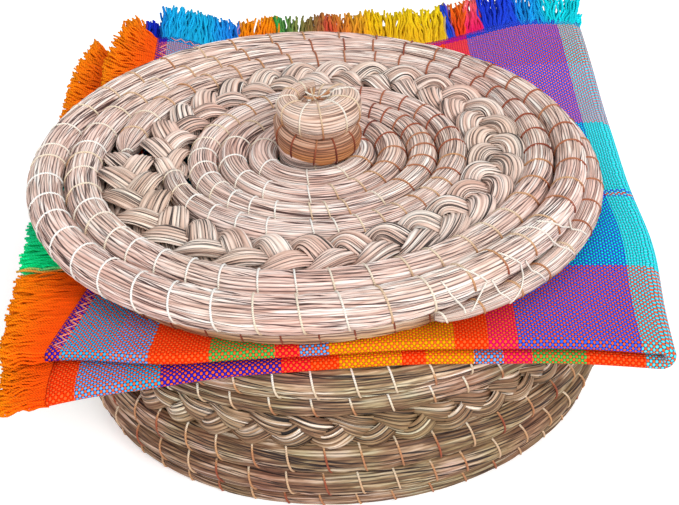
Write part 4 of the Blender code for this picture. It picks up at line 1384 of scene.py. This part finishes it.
fringe = {
    "spacing": 0.95 * mm,
    "yarn": 0.72 * mm,
    "taper": 0.12,
    "points": 11,
    "sides": 4,
    "rowShares": np.array([0.9, 0.3, -0.3, -0.9]),      # heights of a pair's rows, as shares of its half
    "rowShift": 0.25,               # how far a row is moved along the edge, as a share of its height
    "wave": 4.1 * mm,               # lengths of the slow waves that gather the yarns into tufts
    "wave2": 2.3 * mm,
    "wave2Share": 0.6,
    "length": (0.95, 0.025, 0.07),  # share of the length given, and what the tufts and chance add
    "fan": (0.10, 0.09),
    "phase": (9 * mm, 1.2),
    "curl": (9, 8),
    "sideways": (0.5 * mm, 0.5 * mm),
    "lift": (0.9 * mm, 1.4 * mm),
    "bright": (0.78, 0.36),
    "paler": 0.16,                  # how much warm yarns turn yellow towards their tips
}
leftFringe = {
    "tips": -146 * mm,              # where the left fringe of both pairs ends
    "inset": 1.0 * mm,
    "end": 161 * mm,
    "swing": math.radians(55),      # near the back corner the yarns turn towards the back
    "swingFrom": (110 * mm, 52 * mm),
    "backFrom": (30 * mm, 60 * mm),
    "backLength": 28 * mm,
    "rise": 7 * mm,
    "riseFrom": (60 * mm, 90 * mm),
    "seed": 61,
    "tints": stops(
        (-200, 255, 84, 4), (-50, 255, 84, 4), (-47, 2, 250, 150), (-8, 30, 220, 150), (40, 40, 200, 210),
        (46, 255, 90, 10), (300, 255, 90, 10)),
}
backFringe = {
    "tips": 206 * mm,
    "hemY": 160 * mm,
    "inset": 2 * mm,
    "end": 130 * mm,
    "edge": 160.5 * mm,
    "edgeIn": 6 * mm,               # how far the right half of the edge draws in
    "edgeFrom": (60 * mm, 60 * mm),
    "swing": math.radians(16),
    "swingFrom": (112 * mm, 18 * mm),
    "shorter": 0.3,
    "middle": -8 * mm,
    "rise": 6 * mm,
    "cornerRise": 15 * mm,
    "riseFrom": (45 * mm, 60 * mm),
    "riseShares": (0.45, 0.1),      # of the corner's rise, at the left and at the right
    "seed": 71,
    "tints": stops(
        (-150, 255, 84, 0), (-103, 255, 84, 0), (-102, 20, 60, 210), (-96, 20, 40, 200), (-92, 20, 180, 240),
        (-70, 20, 190, 240), (-53, 30, 130, 235), (-52, 255, 120, 10), (-30, 255, 120, 10),
        (-29, 30, 170, 80), (0, 220, 30, 60), (20, 255, 190, 20), (61, 255, 205, 30), (62, 30, 70, 215),
        (66, 30, 80, 220), (67, 255, 60, 20), (71, 255, 70, 30), (72, 250, 20, 110), (82, 250, 20, 110),
        (83, 30, 60, 220), (101, 30, 80, 228), (103, 20, 150, 240), (115, 20, 180, 240),
        (118, 10, 225, 240), (160, 10, 225, 240)),
}


def tintsAt(places, rows):
    # the colour between two rows of place in mm and colour, by linear interpolation
    along = np.array([place for place, colour in rows]) * mm
    return blend3(places, along, np.array([colour for place, colour in rows]))


def tuftPiece(name, anchors, outward, length, rise, tints, level, seed, material):
    # each yarn leaves its anchor and waves as it goes: anchor + out · L t + side · a sin(kt) + rise · t²,
    # and its length and lean change slowly along the edge, so that the yarns gather into tufts
    rand = np.random.default_rng(seed)
    count = len(anchors)

    def spread(values):
        # for each yarn the least value and a random share of what is added to it
        least, more = values
        return least + more * rand.random((count, 1))

    share = np.linspace(0, 1, fringe["points"])
    run = np.hypot(anchors[:, 0], anchors[:, 1]) + anchors[:, 0] - anchors[:, 1]
    tuft = np.sin(run / fringe["wave"] + seed)
    tuft = tuft + fringe["wave2Share"] * np.sin(run / fringe["wave2"] + 2 * seed)
    most, byTuft, byChance = fringe["length"]
    lengths = length * (most + byTuft * tuft + byChance * (rand.random(count) - 0.6))
    side = unit(np.cross(outward, up))
    fanByChance, fanByTuft = fringe["fan"]
    fan = fanByChance * (rand.random(count) - 0.5) + fanByTuft * np.cos(run / fringe["wave"] + seed)
    direction = unit(outward + fan[:, None] * side)
    phaseLength, phaseSpread = fringe["phase"]
    phase = run[:, None] / phaseLength + phaseSpread * rand.random((count, 1))
    curl = spread(fringe["curl"])
    wave = spread(fringe["sideways"]) * np.sin(share * curl + 3 * phase) * share ** 0.5
    liftWave, liftSpread = fringe["lift"]
    lift = liftWave * np.sin(share * curl + 5 * rand.random((count, 1))) * share
    lift = lift + liftSpread * (rand.random((count, 1)) - 0.4) * share
    line = (anchors[:, None] + direction[:, None] * (lengths[:, None] * share)[..., None]
            + side[:, None] * wave[..., None] + up * (lift + rise[:, None] * share ** 2)[..., None])
    line = drape(line[..., 0], line[..., 1], line[..., 2], level)
    across, top = axesAlong(line, up)
    radius = fringe["yarn"] * (1 - fringe["taper"] * share) * np.ones((count, 1))
    rings = roundRings(line, across, top, radius, fringe["sides"])
    tint = np.append(np.clip(tints * spread(fringe["bright"]), 0, 1), np.ones((count, 1)), 1)
    tint = np.broadcast_to(tint[:, None, None], rings.shape[:3] + (4,)).copy()
    paler = fringe["paler"] * share[None, :, None] ** 2 * (tint[..., 0] > 0.5)
    tint[..., 1] = np.clip(tint[..., 1] + paler, 0, 1)
    return tubeMesh(name, rings, share[None] * lengths[:, None], {"tint": tint}, material)


def fringeRows(edgeX, edgeY, height, shift):
    # the edge's places once for each row of yarn, moved a little along the edge and up or down
    shiftX, shiftY = shift
    return np.concatenate([
        np.stack([edgeX + shiftX * row, edgeY + shiftY * row, height + row + 0 * edgeX], -1)
        for row in fringe["rowShares"] * napkin["half"]])


def leftTufts(name, level, hemOf, height, material):
    # along the left hem the yarns reach the same line, and near the back corner they swing towards the back
    y = np.arange(napkin["front"] + leftFringe["inset"], leftFringe["end"], fringe["spacing"])
    anchors = fringeRows(hemOf(y) + leftFringe["inset"], y, height, (0, fringe["rowShift"]))
    y = anchors[:, 1]
    swing = leftFringe["swing"] * easeFrom(y, *leftFringe["swingFrom"])
    outward = np.stack([-np.cos(swing), np.sin(swing), 0 * swing], -1)
    backShare = easeFrom(y, *leftFringe["backFrom"])
    length = (anchors[:, 0] - leftFringe["tips"]) * (1 - backShare) + leftFringe["backLength"] * backShare
    rise = leftFringe["rise"] * easeFrom(y, *leftFringe["riseFrom"])
    return tuftPiece(name, anchors, outward, length, rise, tintsAt(y, leftFringe["tints"]), level,
                     leftFringe["seed"] + level, material)


def backTufts(name, level, hemOf, height, material):
    # along the back edge the yarns reach the same line, shorter and swung to the right at the right corner
    start = hemOf(np.array([backFringe["hemY"]]))[0] + backFringe["inset"]
    x = np.arange(start, backFringe["end"], fringe["spacing"])
    edge = backFringe["edge"] - backFringe["edgeIn"] * easeFrom(np.abs(x), *backFringe["edgeFrom"]) * (x > 0)
    anchors = fringeRows(x, edge, height, (fringe["rowShift"], 0))
    x = anchors[:, 0]
    atCorner = easeFrom(x, *backFringe["swingFrom"])
    swing = backFringe["swing"] * atCorner
    outward = np.stack([np.sin(swing), np.cos(swing), 0 * swing], -1)
    length = (backFringe["tips"] - anchors[:, 1] - backSlant(x)) * (1 - backFringe["shorter"] * atCorner)
    far = easeFrom(np.abs(x - backFringe["middle"]), *backFringe["riseFrom"])
    rise = backFringe["rise"] + backFringe["cornerRise"] * far * np.where(x < 0, *backFringe["riseShares"])
    return tuftPiece(name, anchors, outward, length, rise, tintsAt(x, backFringe["tints"]), level,
                     backFringe["seed"] + level, material)


fringeYarn = twistedMaterial("fringeYarn", yarnFinish)
for pair, level, hemOf in (("upper", 1, upperHem), ("lower", 0, lowerHem)):
    for side, tufts in (("left", leftTufts), ("back", backTufts)):
        piece = tufts(f"fringe_{side}_{pair}", level, hemOf, napkin[pair], fringeYarn)
        finish(piece, "cloth", "fringe_yarn", f"{side}_fringe_{pair}")


# hem stitching: a zigzag of pink thread inside the left hem, on the top layer and on the lowest one, and
# along the back edge

zigzag = {
    "step": 3.0 * mm,
    "reach": 2.0 * mm,
    "inset": 4.2 * mm,
    "lift": 0.55 * mm,
    "thread": 0.28 * mm,
    "hemRun": (4 * mm, 270 * mm),
    "backRun": (8 * mm, 130 * mm),
}


def zigzagLine(s, t, acrossS, side):
    # straight stitches between points that stand to and fro by the reach, over the cloth or under it
    reach = zigzag["reach"] * np.where(np.arange(s.size + t.size - 1) % 2 == 0, 1, -1)
    corner = napkinPlace(s + reach * acrossS, t + reach * (1 - acrossS))
    corner = corner + np.array([0, 0, zigzag["lift"] * side])
    begin, end = corner[:-1, None], corner[1:, None]
    line = begin + (end - begin) * np.linspace(0, 1, 3)[None, :, None]
    return {"line": line, "out": np.broadcast_to(up, line.shape), "thread": zigzag["thread"],
            "tone": np.zeros(line.shape[:2])}


hemRun = np.arange(*zigzag["hemRun"], zigzag["step"])
backRun = np.arange(*zigzag["backRun"], zigzag["step"])
hemThread = twistedMaterial("hemThread", threadFinish, stops((0.0, 255, 170, 150), (1.0, 255, 120, 120)))
hem = finish(threadPiece("hem_zigzag", [
    zigzagLine(np.array([zigzag["inset"]]), hemRun, 1, 1),
    zigzagLine(np.array([napkin["width"] - zigzag["inset"]]), hemRun, 1, -1),
    zigzagLine(backRun, np.array([napkin["length"] / 2 - zigzag["inset"]]), 0, 1)],
    hemThread, sides=5), "cloth", "plaid_cotton")


# floor, light and camera

stage = {
    "floorSize": 6,
    "floor": 0.92,
    "floorGlow": 0.34,              # only for what the camera sees, so that it lights nothing
    "world": 0.82,
    "lamps": {"sun": (1.65, 42, 36), "fill": (0.62, 70, 6)},    # strength, tilt and turn in degrees
    "lampAngle": 25,
    "lens": 82.08,
    "sensor": 36,
    "clip": 0.02,
    "tilt": 33.487,                 # degrees that the camera looks down, and is turned about its own axis
    "roll": 3.4885,
    "eye": (0.0006, -0.6255, 0.4706),
}


def seenDirectly(tree):
    # 1 for what the camera sees, also in gloss or through something clear, and 0 for what lights the object
    rays = addNode(tree, "LightPath").outputs
    seen = maths("MAXIMUM", rays["Is Camera Ray"], rays["Is Glossy Ray"])
    return maths("MAXIMUM", seen, rays["Is Transmission Ray"])


bpy.ops.mesh.primitive_plane_add(size=stage["floorSize"], location=(0, 0, 0))
floor = bpy.context.object
floor.name = "floor"
made, tree, shader = newMaterial("paleFloor", 0.9, 0.1)
feed(shader.inputs["Base Color"], (stage["floor"],) * 3)
glow = addNode(tree, "Emission", Strength=maths("MULTIPLY", seenDirectly(tree), stage["floorGlow"]))
both = addNode(tree, "AddShader")
feed(both.inputs[0], shader.outputs[0])
feed(both.inputs[1], glow.outputs[0])
feed(tree.nodes["Material Output"].inputs["Surface"], both.outputs[0])
floor.data.materials.append(made)

world = bpy.data.worlds.new("studio")
scene.world = world
world.use_nodes = True
tree = world.node_tree
background = tree.nodes["Background"]
feed(background.inputs["Color"], (1, 1, 1))
feed(background.inputs["Strength"], weightedSum(stage["world"], (seenDirectly(tree), 1 - stage["world"])))

for name, (strength, tilt, turn) in stage["lamps"].items():
    light = bpy.data.lights.new(name, "SUN")
    light.energy = strength
    light.angle = math.radians(stage["lampAngle"])
    lamp = bpy.data.objects.new(name, light)
    lamp.rotation_euler = (math.radians(tilt), math.radians(turn), 0)
    scene.collection.objects.link(lamp)

cameraData = bpy.data.cameras.new("camera")
cameraData.lens = stage["lens"]
cameraData.sensor_width = stage["sensor"]
cameraData.clip_start = stage["clip"]
camera = bpy.data.objects.new("camera", cameraData)
tilt, roll = math.radians(stage["tilt"]), math.radians(stage["roll"])
forward = np.array([0, math.cos(tilt), -math.sin(tilt)])
right = np.array([1.0, 0, 0])
over = np.cross(right, forward)
placed = np.eye(4)
placed[:3, 0] = math.cos(roll) * right - math.sin(roll) * over
placed[:3, 1] = math.sin(roll) * right + math.cos(roll) * over
placed[:3, 2] = -forward
placed[:3, 3] = stage["eye"]
camera.matrix_world = Matrix(placed.tolist())
scene.collection.objects.link(camera)
scene.camera = camera
scene.view_settings.view_transform = "Standard"
print("floor, lights and camera ready")

bpy.context.view_layer.update()
